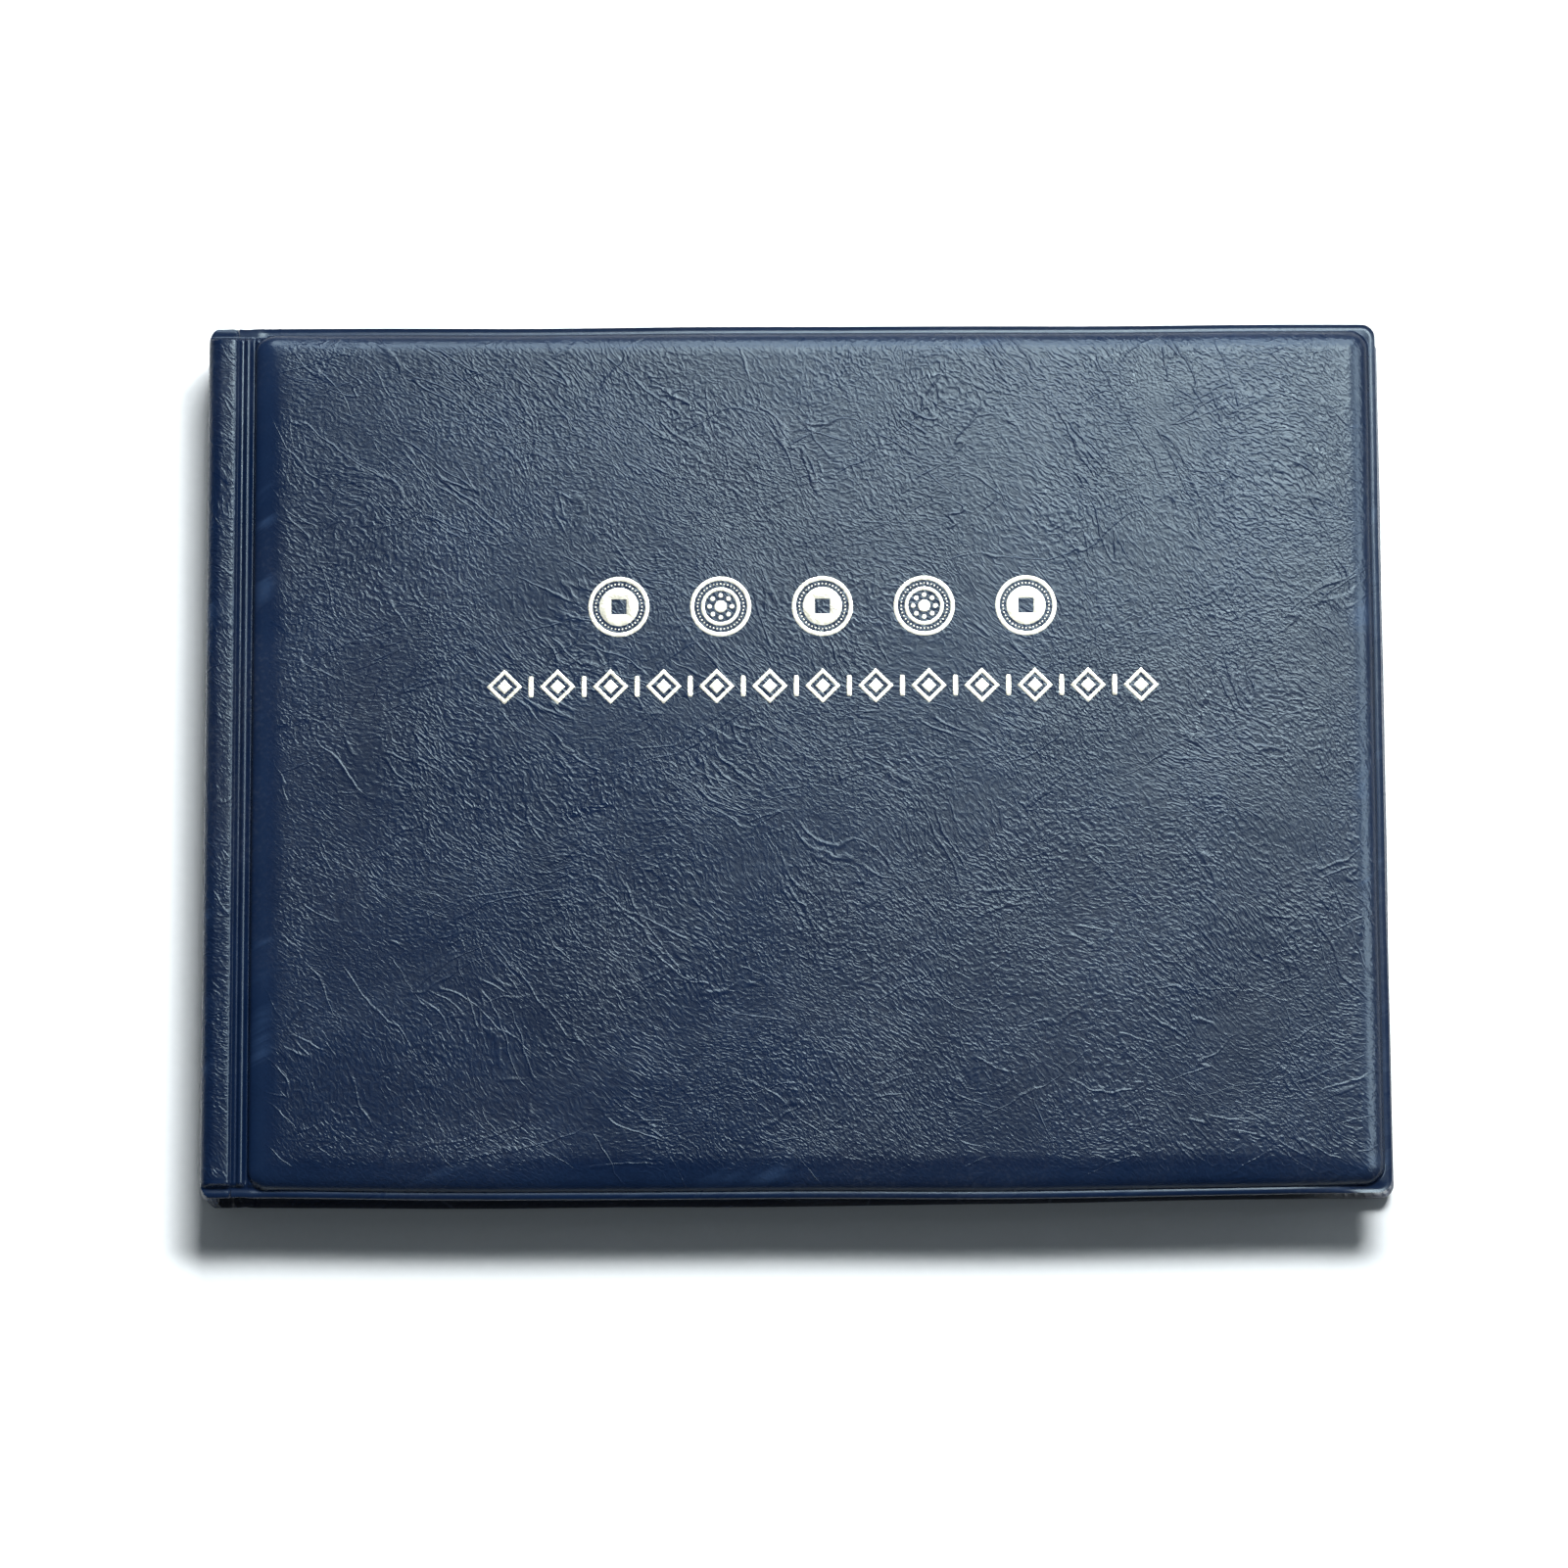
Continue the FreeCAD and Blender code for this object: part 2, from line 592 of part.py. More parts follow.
def roundel(number, x, y):
    """One coin-like roundel: a rim with a different plain centre for each number."""
    radius = s("roundel_radius")
    rim = s("roundel_rim")
    name = f"roundel_{number}"
    pieces = [ring(f"{name}_rim", radius, f"({radius} - {rim})", x, y)]
    core = f"({radius} * 0.62)"
    if number % 2:
        disc = cylinder(f"{name}_core", core, s("foil_thickness"), x, y, CASE_TOP)
        side = f"({radius} * 0.46)"
        square = centred_box(f"{name}_square", side, side, s("foil_thickness"), x, y, CASE_TOP)
        pieces.append(cut(f"{name}_pierced", disc, square))
    else:
        pieces.append(ring(f"{name}_inner", core, f"({core} - {rim})", x, y))
        pieces.append(cylinder(f"{name}_dot", f"({radius} * 0.22)", s("foil_thickness"), x, y, CASE_TOP))
    return pieces


def coin_roundels():
    pieces = []
    for i in range(count("roundel_count")):
        x = f"({s('ornament_shift')} + {s('roundel_pitch')} * ({i} - ({s('roundel_count')} - 1) / 2))"
        pieces += roundel(i + 1, x, s("roundel_row"))
    return group("coin_roundels", pieces)


def ornament_band():
    """A row of lozenges with a short bar between each two."""
    pieces = []
    pitch = f"({s('band_length')} / {s('band_lozenges')})"
    side = f"({s('band_height')} / sqrt(2))"
    for i in range(count("band_lozenges")):
        x = f"({s('ornament_shift')} + {pitch} * ({i} - ({s('band_lozenges')} - 1) / 2))"
        lozenge = doc.addObject("Part::Box", f"lozenge_{i + 1}")
        bind(lozenge, Length=side, Width=side, Height=s("foil_thickness"))
        turn(lozenge, (0, 0, 1), 45)
        place(lozenge, x, f"{s('band_row')} - {s('band_height')} / 2", CASE_TOP)
        pieces.append(lozenge)
        if i + 1 < count("band_lozenges"):
            pieces.append(centred_box(
                f"band_bar_{i + 1}", f"({s('band_height')} / 7)", f"({s('band_height')} * 0.6)",
                s("foil_thickness"), f"({x} + {pitch} / 2)", s("band_row"), CASE_TOP,
            ))
    return group("ornament_band", pieces)


keep(coin_roundels(), "coin_roundels")
keep(ornament_band(), "ornament_band")


# ---------------------------------------------------------------- check and write

doc.recompute()
for thing in doc.Objects:
    if "Invalid" in thing.State or "Error" in thing.State:
        raise RuntimeError(f"{thing.Label} failed: {thing.State}")
for piece in PARTS:
    shape = piece.Shape
    if shape.isNull() or not shape.isValid() or not shape.Solids:
        raise RuntimeError(f"{piece.Label} has no valid solid")
for piece in PARTS:
    piece.Shape.exportStep(f"parts/{piece.Label}.step")
print(len(PARTS), "sub-parts written")
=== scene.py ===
import math

import bmesh
import bpy
import numpy as np
from mathutils import Matrix, Vector


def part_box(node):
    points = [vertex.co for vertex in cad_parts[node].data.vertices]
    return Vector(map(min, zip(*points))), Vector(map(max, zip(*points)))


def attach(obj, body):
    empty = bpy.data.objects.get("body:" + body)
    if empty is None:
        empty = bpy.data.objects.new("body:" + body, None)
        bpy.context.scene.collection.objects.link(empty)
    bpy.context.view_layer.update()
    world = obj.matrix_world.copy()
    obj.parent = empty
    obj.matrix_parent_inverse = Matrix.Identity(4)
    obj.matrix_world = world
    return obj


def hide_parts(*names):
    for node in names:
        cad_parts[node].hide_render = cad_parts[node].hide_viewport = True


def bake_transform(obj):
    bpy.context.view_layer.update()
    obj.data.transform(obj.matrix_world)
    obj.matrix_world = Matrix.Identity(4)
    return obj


# Coin album: soft padded covers, a wrapped spine, and ten leaves of clear pockets.
# Lengths in this script are in millimetres until a mesh or a lamp is made.

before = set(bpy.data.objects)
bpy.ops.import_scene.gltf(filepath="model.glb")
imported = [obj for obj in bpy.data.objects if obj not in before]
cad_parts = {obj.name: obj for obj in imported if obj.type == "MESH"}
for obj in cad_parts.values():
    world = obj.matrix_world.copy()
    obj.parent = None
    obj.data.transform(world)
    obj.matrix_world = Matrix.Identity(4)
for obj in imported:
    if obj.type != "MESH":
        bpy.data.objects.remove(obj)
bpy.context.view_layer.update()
MM = 0.001


# -------------------- places read from the frame

def node_box(name):
    """Lowest and highest corner of a CAD node, in millimetres."""
    return [np.array(corner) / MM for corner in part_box(name)]


SKIN = 0.4                      # outer PVC
FILM = 0.25                     # outer PVC where it is pressed into the hinge
LINING = 0.28                   # inner PVC
skin_low, skin_high = node_box("front_cover_skin")
board_low, board_high = node_box("front_cover_board")
film_low, film_high = node_box("front_hinge_film")
spine_low, spine_high = node_box("spine_skin")
liner_low = node_box("spine_liner")[0]
back_low = node_box("back_cover_skin")[0]

EDGE_X = skin_high[0]           # fore-edge
EDGE_Y = skin_high[1]           # far edge; the near edge is -EDGE_Y
SPINE_X = spine_low[0]
PANEL_X = skin_low[0]
FLANGE_Z = skin_low[2] + SKIN
CASE_TOP = skin_high[2]
MIDDLE_Z = (skin_high[2] + back_low[2]) / 2
STRIP_Z = spine_high[2]
SEAM_X = film_low[0] + 0.25     # where the spine wrap and the cover wraps meet
FLANGE = 1.2                    # flat weld outside the padding
CORNER = 2.3
PAD_CORNER = 3.4
PAD_START = PANEL_X - 0.15
PAD_REACH, CRISP_REACH = 5.4, 3.5    # width of the padding's slope, and on its crisper far and right sides
COVER_STEP, SHEET_STEP = 4.2, 5.0   # grid steps away from the edges
GROOVE_Z = film_high[2] - 0.55


# -------------------- shapes as curves

def smooth(t):
    t = np.clip(t, 0.0, 1.0)
    return t * t * (3 - 2 * t)


def hump(t, width):
    return np.exp(-((t / width) ** 2))


def curve(at, knots):
    """A smooth line through knots of (place, height)."""
    places, heights = np.array(knots, float).T
    slopes = np.gradient(heights, places)
    i = np.clip(np.searchsorted(places, at) - 1, 0, len(places) - 2)
    step = places[i + 1] - places[i]
    t = np.clip((at - places[i]) / step, 0.0, 1.0)
    return (
        (2 * t ** 3 - 3 * t ** 2 + 1) * heights[i] + (t ** 3 - 2 * t ** 2 + t) * step * slopes[i]
        + (3 * t ** 2 - 2 * t ** 3) * heights[i + 1] + (t ** 3 - t ** 2) * step * slopes[i + 1]
    )


def inset(x, y, low_x, high_x, half_y, radius):
    """How far a point lies inside a rectangle with round corners."""
    qx = np.abs(x - (low_x + high_x) / 2) - (high_x - low_x) / 2 + radius
    qy = np.abs(y) - half_y + radius
    outside = np.hypot(np.maximum(qx, 0), np.maximum(qy, 0))
    return radius - outside - np.minimum(np.maximum(qx, qy), 0)


def shoulder(distance, reach, power=2.4):
    """Steep at first, then rounding over to level: 0 at the edge and 1 past REACH."""
    t = np.clip(distance / reach, 0.0, 1.0)
    return (1 - (1 - t) ** power) ** (1 / power)


def round_corners(x, y, low_x, high_x, half_y, radius, both_ends):
    """Bends the corners of a square grid onto a rectangle with round corners."""
    ends = [(high_x - radius, 1)]
    if both_ends:
        ends.append((low_x + radius, -1))
    new_x, new_y = x.copy(), y.copy()
    for centre, sign in ends:
        u = np.clip((x - centre) * sign / radius, 0.0, 1.0)
        v = np.clip((np.abs(y) - half_y + radius) / radius, 0.0, 1.0)
        inside = (u > 0) & (v > 0)
        new_x[inside] = (centre + sign * radius * u * np.sqrt(1 - v * v / 2))[inside]
        new_y[inside] = (np.sign(y) * (half_y - radius + radius * v * np.sqrt(1 - u * u / 2)))[inside]
    return new_x, new_y


def lines(low, high, from_low, from_high, step):
    """Grid places between LOW and HIGH: the given distances in from each end, then even steps."""
    near = [low + d for d in from_low]
    far = [high - d for d in from_high][::-1]
    between = np.linspace(near[-1], far[0], max(2, round((far[0] - near[-1]) / step)) + 1)[1:-1]
    return np.array(near + list(between) + far)


# Grid steps: distances in from an edge, and from the hinge's seam.
RIM_STEPS = [
    0, 0.08, 0.2, 0.35, 0.5, 0.65, 0.8, 0.95, 1.1, 1.3, 1.5, 1.7, 1.9, 2.2, 2.5, 2.6, 2.72, 2.88,
    3.1, 3.4, 3.8, 4.3, 5, 5.8, 6.6, 7.5, 9,
]
HINGE_STEPS = [
    0, 0.15, 0.3, 0.45, 0.6, 0.75, 0.9, 1.05, 1.25, 1.45, 1.6, 1.75, 1.95, 2.1, 2.25, 2.4, 2.55, 2.7,
    2.8, 2.9, 3.0, 3.12, 3.28, 3.5, 3.8, 4.2, 4.7, 5.4, 6.2, 7.2, 8.5, 10,
]
# Heights over the flat weld by the distance in from the edge, and over the hinge film by that from the seam.
RIM_KNOTS = [(0, -0.28), (0.1, -0.1), (0.35, 0.06), (0.7, 0.14), (1.0, 0.07), (1.3, 0.0), (1.6, 0.0)]
HINGE_KNOTS = [
    (-1.0, 0.0), (0.0, 0.0), (0.2, 0.06), (0.42, 0.15), (0.65, 0.17), (0.85, 0.08), (1.0, 0.2),
    (1.2, 0.44), (1.5, 0.54), (1.8, 0.46), (2.05, 0.18), (2.3, -0.15), (2.55, -0.35), (2.8, -0.3),
    (3.05, -0.05), (4.0, 0.04),
]


# -------------------- meshes

def piece_from(name, points, faces, material, values=None):
    """A smooth closed piece. VALUES are extra numbers for each point, kept for the material."""
    mesh = bpy.data.meshes.new(name)
    mesh.from_pydata((np.asarray(points) * MM).tolist(), [], [list(face) for face in faces])
    work = bmesh.new()
    work.from_mesh(mesh)
    bmesh.ops.recalc_face_normals(work, faces=work.faces)
    work.to_mesh(mesh)
    work.free()
    for label, numbers in (values or {}).items():
        mesh.attributes.new(label, "FLOAT", "POINT").data.foreach_set("value", numbers.astype(np.float32))
    mesh.shade_smooth()
    mesh.set_sharp_from_angle(angle=math.radians(55))
    mesh.materials.append(material)
    piece = bpy.data.objects.new(name, mesh)
    bpy.context.collection.objects.link(piece)
    return piece


def slab(name, upper, lower, material, **values):
    """A closed piece between two matching grids of points."""
    rows, columns = upper.shape[:2]
    size = rows * columns
    index = np.arange(size).reshape(rows, columns)
    quads = np.stack([index[:-1, :-1], index[1:, :-1], index[1:, 1:], index[:-1, 1:]], -1).reshape(-1, 4)
    rim = np.concatenate([index[:-1, 0], index[-1, :-1], index[:0:-1, -1], index[0, :0:-1]])
    ahead = np.roll(rim, -1)
    walls = np.stack([ahead, rim, rim + size, ahead + size], -1)
    faces = np.concatenate([quads, quads[:, ::-1] + size, walls])
    points = np.concatenate([upper.reshape(-1, 3), lower.reshape(-1, 3)])
    both = {k: np.concatenate([v.ravel(), v.ravel()]) for k, v in values.items()}
    return piece_from(name, points.tolist(), faces.tolist(), material, both)


def stack(x, y, z):
    return np.stack(np.broadcast_arrays(x, y, z), -1).astype(float)


def flip(points):
    """The same points on the other side of the album's middle height."""
    return points * (1, 1, -1) + (0, 0, 2 * MIDDLE_Z)


def ribbon(path, y, outward, inward):
    """Grids either side of a path of (x, z) points that is carried along y."""
    run = np.gradient(path, axis=0)
    run /= np.linalg.norm(run, axis=1)[:, None]
    normal = np.stack([run[:, 1], -run[:, 0]], -1)
    grids = []
    for offset in (outward, inward):
        place = path[:, None, :] + normal[:, None, :] * offset[..., None]
        grids.append(stack(place[..., 0], y[None, :], place[..., 1]))
    return grids, normal


# -------------------- how the padding swells

PAD_LOW = (board_low[0], -board_high[1])
PAD_HIGH = (board_high[0], board_high[1])
SWELL_COUNT = (29, 23)
TRIAL_HEIGHT = 4.0              # thickness of the trial pad before it is blown up
PRESSURE, LAST_FRAME = 4.0, 20


def simulated_swell():
    """Blows up a pad that is held at its board and rim, and gives its rise on a grid, from 0 to 1."""
    nx, ny = SWELL_COUNT
    x = np.linspace(PAD_LOW[0], PAD_HIGH[0], nx)
    y = np.linspace(PAD_LOW[1], PAD_HIGH[1], ny)
    grid_x, grid_y = np.meshgrid(x, y, indexing="ij")
    trial = slab(
        "pad_trial", stack(grid_x, grid_y, board_high[2] + TRIAL_HEIGHT),
        stack(grid_x, grid_y, board_high[2]), bpy.data.materials.new("pad_trial"),
    )
    index = np.arange(nx * ny).reshape(nx, ny)
    rim = set(index[0]) | set(index[-1]) | set(index[:, 0]) | set(index[:, -1])
    held = rim | set(range(nx * ny, 2 * nx * ny))
    group = trial.vertex_groups.new(name="held")
    group.add([int(i) for i in held], 1.0, "REPLACE")
    cloth = trial.modifiers.new("swell", "CLOTH")
    cloth.settings.vertex_group_mass = "held"
    cloth.settings.use_pressure = True
    cloth.settings.uniform_pressure_force = PRESSURE
    cloth.settings.effector_weights.gravity = 0.0
    cloth.settings.quality = 5
    cloth.collision_settings.use_collision = False
    scene = bpy.context.scene
    for number in range(1, LAST_FRAME + 1):
        scene.frame_set(number)
    swollen = trial.evaluated_get(bpy.context.evaluated_depsgraph_get()).to_mesh()
    height = np.array([v.co.z for v in swollen.vertices])[:nx * ny].reshape(nx, ny) / MM
    scene.frame_set(1)
    bpy.data.objects.remove(trial, do_unlink=True)
    rise = height - height[0, 0]
    return x, y, np.clip(rise / max(rise.max(), 1e-6), 0.0, 1.0)


swell_x, swell_y, swell_grid = simulated_swell()


def swell(x, y):
    """The padding's rise at a point, from 0 at the rim to 1."""
    i = np.clip((x - swell_x[0]) / (swell_x[1] - swell_x[0]), 0, len(swell_x) - 1.001)
    j = np.clip((y - swell_y[0]) / (swell_y[1] - swell_y[0]), 0, len(swell_y) - 1.001)
    a, b = i.astype(int), j.astype(int)
    s, t = smooth(i - a), smooth(j - b)
    near = swell_grid[a, b] * (1 - s) + swell_grid[a + 1, b] * s
    far = swell_grid[a, b + 1] * (1 - s) + swell_grid[a + 1, b + 1] * s
    return near * (1 - t) + far * t


def slack(x, y, phase):
    """A slow unevenness of soft sheet, between about -1 and 1."""
    return (
        0.45 * np.sin(x / 31 + y / 47 + phase) + 0.3 * np.sin(x / 17 - y / 23 + 2.1 * phase)
        + 0.25 * np.sin(y / 11 + x / 40 + 0.7 * phase)
    )


# -------------------- materials: building blocks

def add(tree, kind, settings=None, **inputs):
    """A shader node. Inputs are values, or sockets to link from; underscores stand for spaces."""
    made = tree.nodes.new("ShaderNode" + kind)
    for label, value in (settings or {}).items():
        setattr(made, label, value)
    for label, value in inputs.items():
        connect(tree, value, made.inputs[label.replace("_", " ")])
    return made


def connect(tree, value, socket):
    """Links a socket, or sets it to a plain value."""
    if isinstance(value, bpy.types.NodeSocket):
        tree.links.new(value, socket)
    else:
        socket.default_value = value


def calculated(tree, operation, *values):
    """The result of a Math node."""
    made = add(tree, "Math", {"operation": operation})
    for value, socket in zip(values, made.inputs):
        connect(tree, value, socket)
    return made.outputs[0]


def plus(tree, *values):
    return calculated(tree, "ADD", *values)


def times(tree, *values):
    return calculated(tree, "MULTIPLY", *values)


def larger(tree, *values):
    return calculated(tree, "MAXIMUM", *values)


def spread(tree, value, low, high, new_low=0.0, new_high=1.0):
    """A number moved from one range to another, and held inside it."""
    made = add(
        tree, "MapRange", {"interpolation_type": "SMOOTHSTEP"}, Value=value,
        From_Min=low, From_Max=high, To_Min=new_low, To_Max=new_high,
    )
    return made.outputs[0]


def blended(tree, factor, first, second):
    """One colour turning into another."""
    made = add(tree, "Mix", {"data_type": "RGBA"})
    connect(tree, factor, made.inputs[0])
    connect(tree, first, made.inputs[6])
    connect(tree, second, made.inputs[7])
    return made.outputs[2]


def noise(tree, place, scale, detail=3.0, roughness=0.55, distortion=0.0):
    """A noise texture's value, between 0 and 1."""
    return noise_node(tree, place, scale, detail, roughness, distortion).outputs[0]


def noise_node(tree, place, scale, detail, roughness=0.55, distortion=0.0):
    return add(
        tree, "TexNoise", None, Vector=place, Scale=scale, Detail=detail, Roughness=roughness,
        Distortion=distortion,
    )


def stretched(tree, place, across, along, turn=0.0):
    """Places turned about Z, then drawn out along the turned X and Y."""
    return add(
        tree, "Mapping", {"vector_type": "TEXTURE"}, Vector=place, Scale=(1 / across, 1 / along, 1.0),
        Rotation=(0.0, 0.0, math.radians(turn)),
    ).outputs[0]


def scaled(tree, place, scale):
    return add(tree, "Mapping", None, Vector=place, Scale=scale).outputs[0]


def object_place(tree):
    return add(tree, "TexCoord").outputs["Object"]


def point_value(tree, name):
    """A value that a piece carries at each of its points."""
    return add(tree, "Attribute", {"attribute_name": name}).outputs["Fac"]


def contour(tree, value, width):
    """1 along the line where a noise passes its middle value, and 0 past WIDTH to either side."""
    off = calculated(tree, "ABSOLUTE", calculated(tree, "SUBTRACT", value, 0.5))
    return spread(tree, off, 0.0, width, 1.0, 0.0)


def group_tree(name, inputs, outputs):
    """A new shader node group with named sockets, its input node, and its output node."""
    tree = bpy.data.node_groups.new(name, "ShaderNodeTree")
    for label, kind, value in inputs:
        tree.interface.new_socket(label, in_out="INPUT", socket_type=kind).default_value = value
    for label, kind in outputs:
        tree.interface.new_socket(label, in_out="OUTPUT", socket_type=kind)
    return tree, tree.nodes.new("NodeGroupInput").outputs, tree.nodes.new("NodeGroupOutput").inputs


def use(tree, group, **inputs):
    """Places a node group in a material and gives its outputs."""
    made = tree.nodes.new("ShaderNodeGroup")
    made.node_tree = group
    for label, value in inputs.items():
        connect(tree, value, made.inputs[label.replace("_", " ")])
    return made.outputs


FLOAT, COLOUR = "NodeSocketFloat", "NodeSocketColor"


def shade(value):
    """An opaque colour."""
    return (*value, 1.0)


GRAIN_LIE = (0.72, 1.12, -38)   # how wrinkles are drawn out: across, along, and their slant in degrees
RIDGE_WIDTH, CREASE_WIDTH = 0.13, 0.014
RIDGE_SHARE, SMALL_SHARE, CREASE_SHARE = 0.55, 0.45, 0.9
CREASE_TURNS = ((-60, 0.0), (-30, 0.3), (25, 0.7))      # slant in degrees, and shift of its patches


def leather_grain():
    """Pressed leather grain: fine winding wrinkles that lie one way, and a few longer creases."""
    tree, given, result = group_tree(
        "Leather grain",
        [("Wrinkle scale", FLOAT, 500.0), ("Crease scale", FLOAT, 90.0)],
        [("Height", FLOAT), ("Valley", FLOAT)],
    )
    place = object_place(tree)
    bent = place
    for scale, reach in ((32.0, 0.012), (260.0, 0.0012)):
        warp = add(tree, "VectorMath", {"operation": "MULTIPLY_ADD"})
        connect(tree, noise_node(tree, place, scale, 1.0).outputs["Color"], warp.inputs[0])
        warp.inputs[1].default_value = (reach, reach, 0.0)
        connect(tree, bent, warp.inputs[2])
        bent = warp.outputs[0]
    lying = stretched(tree, bent, *GRAIN_LIE)
    ridge = contour(tree, noise(tree, lying, given[0], 1.0, 0.5), RIDGE_WIDTH)
    small = noise(tree, lying, times(tree, given[0], 2.3), 1.0, 0.5)
    fine = plus(
        tree, times(tree, ridge, RIDGE_SHARE), times(tree, spread(tree, small, 0.3, 0.7), SMALL_SHARE),
    )
    patch = noise(tree, place, 45.0, 2.0)
    fine = times(tree, fine, spread(tree, patch, 0.36, 0.6, 0.5, 1.0))
    creases = []
    for turn, shift in CREASE_TURNS:
        long = noise(tree, stretched(tree, bent, 0.3, 1.5, turn), given[1], 2.0, 0.5)
        shifted = add(tree, "Mapping", None, Vector=place, Location=(shift, 0, 0)).outputs[0]
        here = spread(tree, noise(tree, shifted, 70.0, 2.0), 0.48, 0.62)
        creases.append(times(tree, contour(tree, long, CREASE_WIDTH), here))
    crease = larger(tree, larger(tree, creases[0], creases[1]), creases[2])
    connect(tree, plus(tree, fine, times(tree, crease, CREASE_SHARE)), result[0])
    connect(tree, spread(tree, fine, 0.1, 0.5, 1.0, 0.0), result[1])
    return tree


def surface_age():
    """Handling: dust that settles in patches, faint rubbed streaks, and a few fine scratches."""
    tree, given, result = group_tree(
        "Surface age",
        [("Dust scale", FLOAT, 30.0), ("Streak scale", FLOAT, 60.0)],
        [("Dust", FLOAT), ("Rub", FLOAT), ("Scratch", FLOAT)],
    )
    place = object_place(tree)
    cloud = noise(tree, place, given[0], 5.0, 0.6)
    specks = noise(tree, place, 1400.0, 1.0)
    dust = times(tree, spread(tree, cloud, 0.4, 0.75), spread(tree, specks, 0.45, 0.75, 0.3, 1.0))
    connect(tree, dust, result[0])
    streak = noise(tree, stretched(tree, place, 0.25, 1.6, 20), given[1], 4.0, 0.6, 0.6)
    connect(tree, spread(tree, streak, 0.48, 0.72), result[1])
    scratches = []
    for turn in (12, -35, 71):
        run = noise(tree, stretched(tree, place, 0.02, 1.0, turn), 900.0, 0.0)
        some = noise(tree, place, 45.0 + turn / 10, 1.0)
        scratches.append(times(tree, spread(tree, run, 0.735, 0.76), spread(tree, some, 0.52, 0.62)))
    both = larger(tree, scratches[0], scratches[1])
    connect(tree, larger(tree, both, scratches[2]), result[2])
    return tree


def mottling():
    """A colour with slow patches and a fine speck in it."""
    tree, given, result = group_tree(
        "Mottling",
        [("Light", COLOUR, shade((0.5, 0.5, 0.5))), ("Dark", COLOUR, shade((0.2, 0.2, 0.2))),
         ("Patch scale", FLOAT, 40.0), ("Speck scale", FLOAT, 2500.0)],
        [("Color", COLOUR)],
    )
    place = object_place(tree)
    patch = noise(tree, place, given[2], 4.0, 0.6)
    speck = noise(tree, place, given[3], 1.0)
    mixed = plus(tree, times(tree, patch, 0.7), times(tree, speck, 0.3))
    connect(tree, blended(tree, spread(tree, mixed, 0.35, 0.65), given[0], given[1]), result[0])
    return tree


def weld_mark():
    """The fine cross ribs that a welding tool leaves, and its slightly uneven pressure."""
    tree, given, result = group_tree("Weld mark", [("Rib scale", FLOAT, 1600.0)], [("Height", FLOAT)])
    place = object_place(tree)
    ribs = []
    for turn in (45, -45):
        wave = add(
            tree, "TexWave", {"wave_type": "BANDS", "bands_direction": "X"},
            Vector=stretched(tree, place, 1.0, 1.0, turn), Scale=given[0], Distortion=0.0,
        )
        ribs.append(wave.outputs[1])
    press = noise(tree, place, 300.0, 2.0)
    crossed = times(tree, ribs[0], ribs[1])
    connect(tree, plus(tree, crossed, times(tree, press, 0.6)), result[0])
    return tree


GRAIN, AGE, MOTTLE, WELD = leather_grain(), surface_age(), mottling(), weld_mark()


def new_material(name, **plain):
    """A material and its Principled shader, with the plain numbers set."""
    material = bpy.data.materials.new(name)
    material.use_nodes = True
    shader = material.node_tree.nodes["Principled BSDF"]
    for label, value in plain.items():
        shader.inputs[label.replace("_", " ")].default_value = value
    return material, material.node_tree, shader.inputs


def bump(tree, shader, height, depth, strength=1.0, before=None):
    """A Bump node on the shader's normal. DEPTH is in millimetres."""
    made = add(tree, "Bump", None, Height=height, Distance=depth * MM, Strength=strength)
    if before is not None:
        connect(tree, before.outputs[0], made.inputs["Normal"])
    connect(tree, made.outputs[0], shader["Normal"])
    return made


def mottled(tree, light, dark, patch, speck):
    """A patchy colour between two, with the scales of its patches and specks."""
    return use(tree, MOTTLE, Light=shade(light), Dark=shade(dark), Patch_scale=patch, Speck_scale=speck)[0]


# Navy colours of the cover skin; the valley colour is painted shade, laid into the grain's low places.
NAVY_LIGHT = (0.0028, 0.0098, 0.033)
NAVY_DARK = (0.0013, 0.0062, 0.024)
NAVY_VALLEY_SHADE = (0.0010, 0.0045, 0.020)
NAVY_RUBBED = (0.022, 0.045, 0.10)
DUST = shade((0.16, 0.17, 0.19))
GRAIN_DEPTH, WAVE_DEPTH = 0.056, 0.08
WRINKLE, CREASE = 820.0, 90.0


def grained_pvc():
    """Padded cover skin: grained where the point value says so, and smooth where it was welded."""
    material, tree, shader = new_material(
        "grained_navy_pvc", Specular_IOR_Level=0.18, Specular_Tint=shade((0.80, 0.95, 1.0)),
    )
    grained = point_value(tree, "grained")
    worn = point_value(tree, "worn")
    grain = use(tree, GRAIN, Wrinkle_scale=WRINKLE, Crease_scale=CREASE)
    age = use(tree, AGE, Dust_scale=26.0, Streak_scale=70.0)
    colour = mottled(tree, NAVY_LIGHT, NAVY_DARK, 38.0, 2400.0)
    # The grain's valleys are painted darker: painted shade in the low places of the grain.
    valley_shade = times(tree, grain["Valley"], times(tree, grained, 0.55))
    colour = blended(tree, valley_shade, colour, shade(NAVY_VALLEY_SHADE))
    rubbed = times(tree, worn, spread(tree, age["Rub"], 0.2, 0.9, 0.15, 0.6))
    colour = blended(tree, rubbed, colour, shade(NAVY_RUBBED))
    dusty = times(tree, age["Dust"], 0.10)
    connect(tree, blended(tree, dusty, colour, DUST), shader["Base Color"])
    base = spread(tree, grained, 0.0, 1.0, 0.26, 0.30)
    rough = plus(tree, base, times(tree, age["Rub"], 0.05))
    rough = calculated(tree, "SUBTRACT", rough, times(tree, age["Scratch"], 0.08))
    connect(tree, rough, shader["Roughness"])
    place = object_place(tree)
    waves = noise(tree, place, 110.0, 3.0, 0.5)
    slow = bump(tree, shader, waves, WAVE_DEPTH)
    lifted = times(tree, grain["Height"], larger(tree, grained, 0.06))
    bump(tree, shader, lifted, GRAIN_DEPTH, 1.0, slow)
    return material


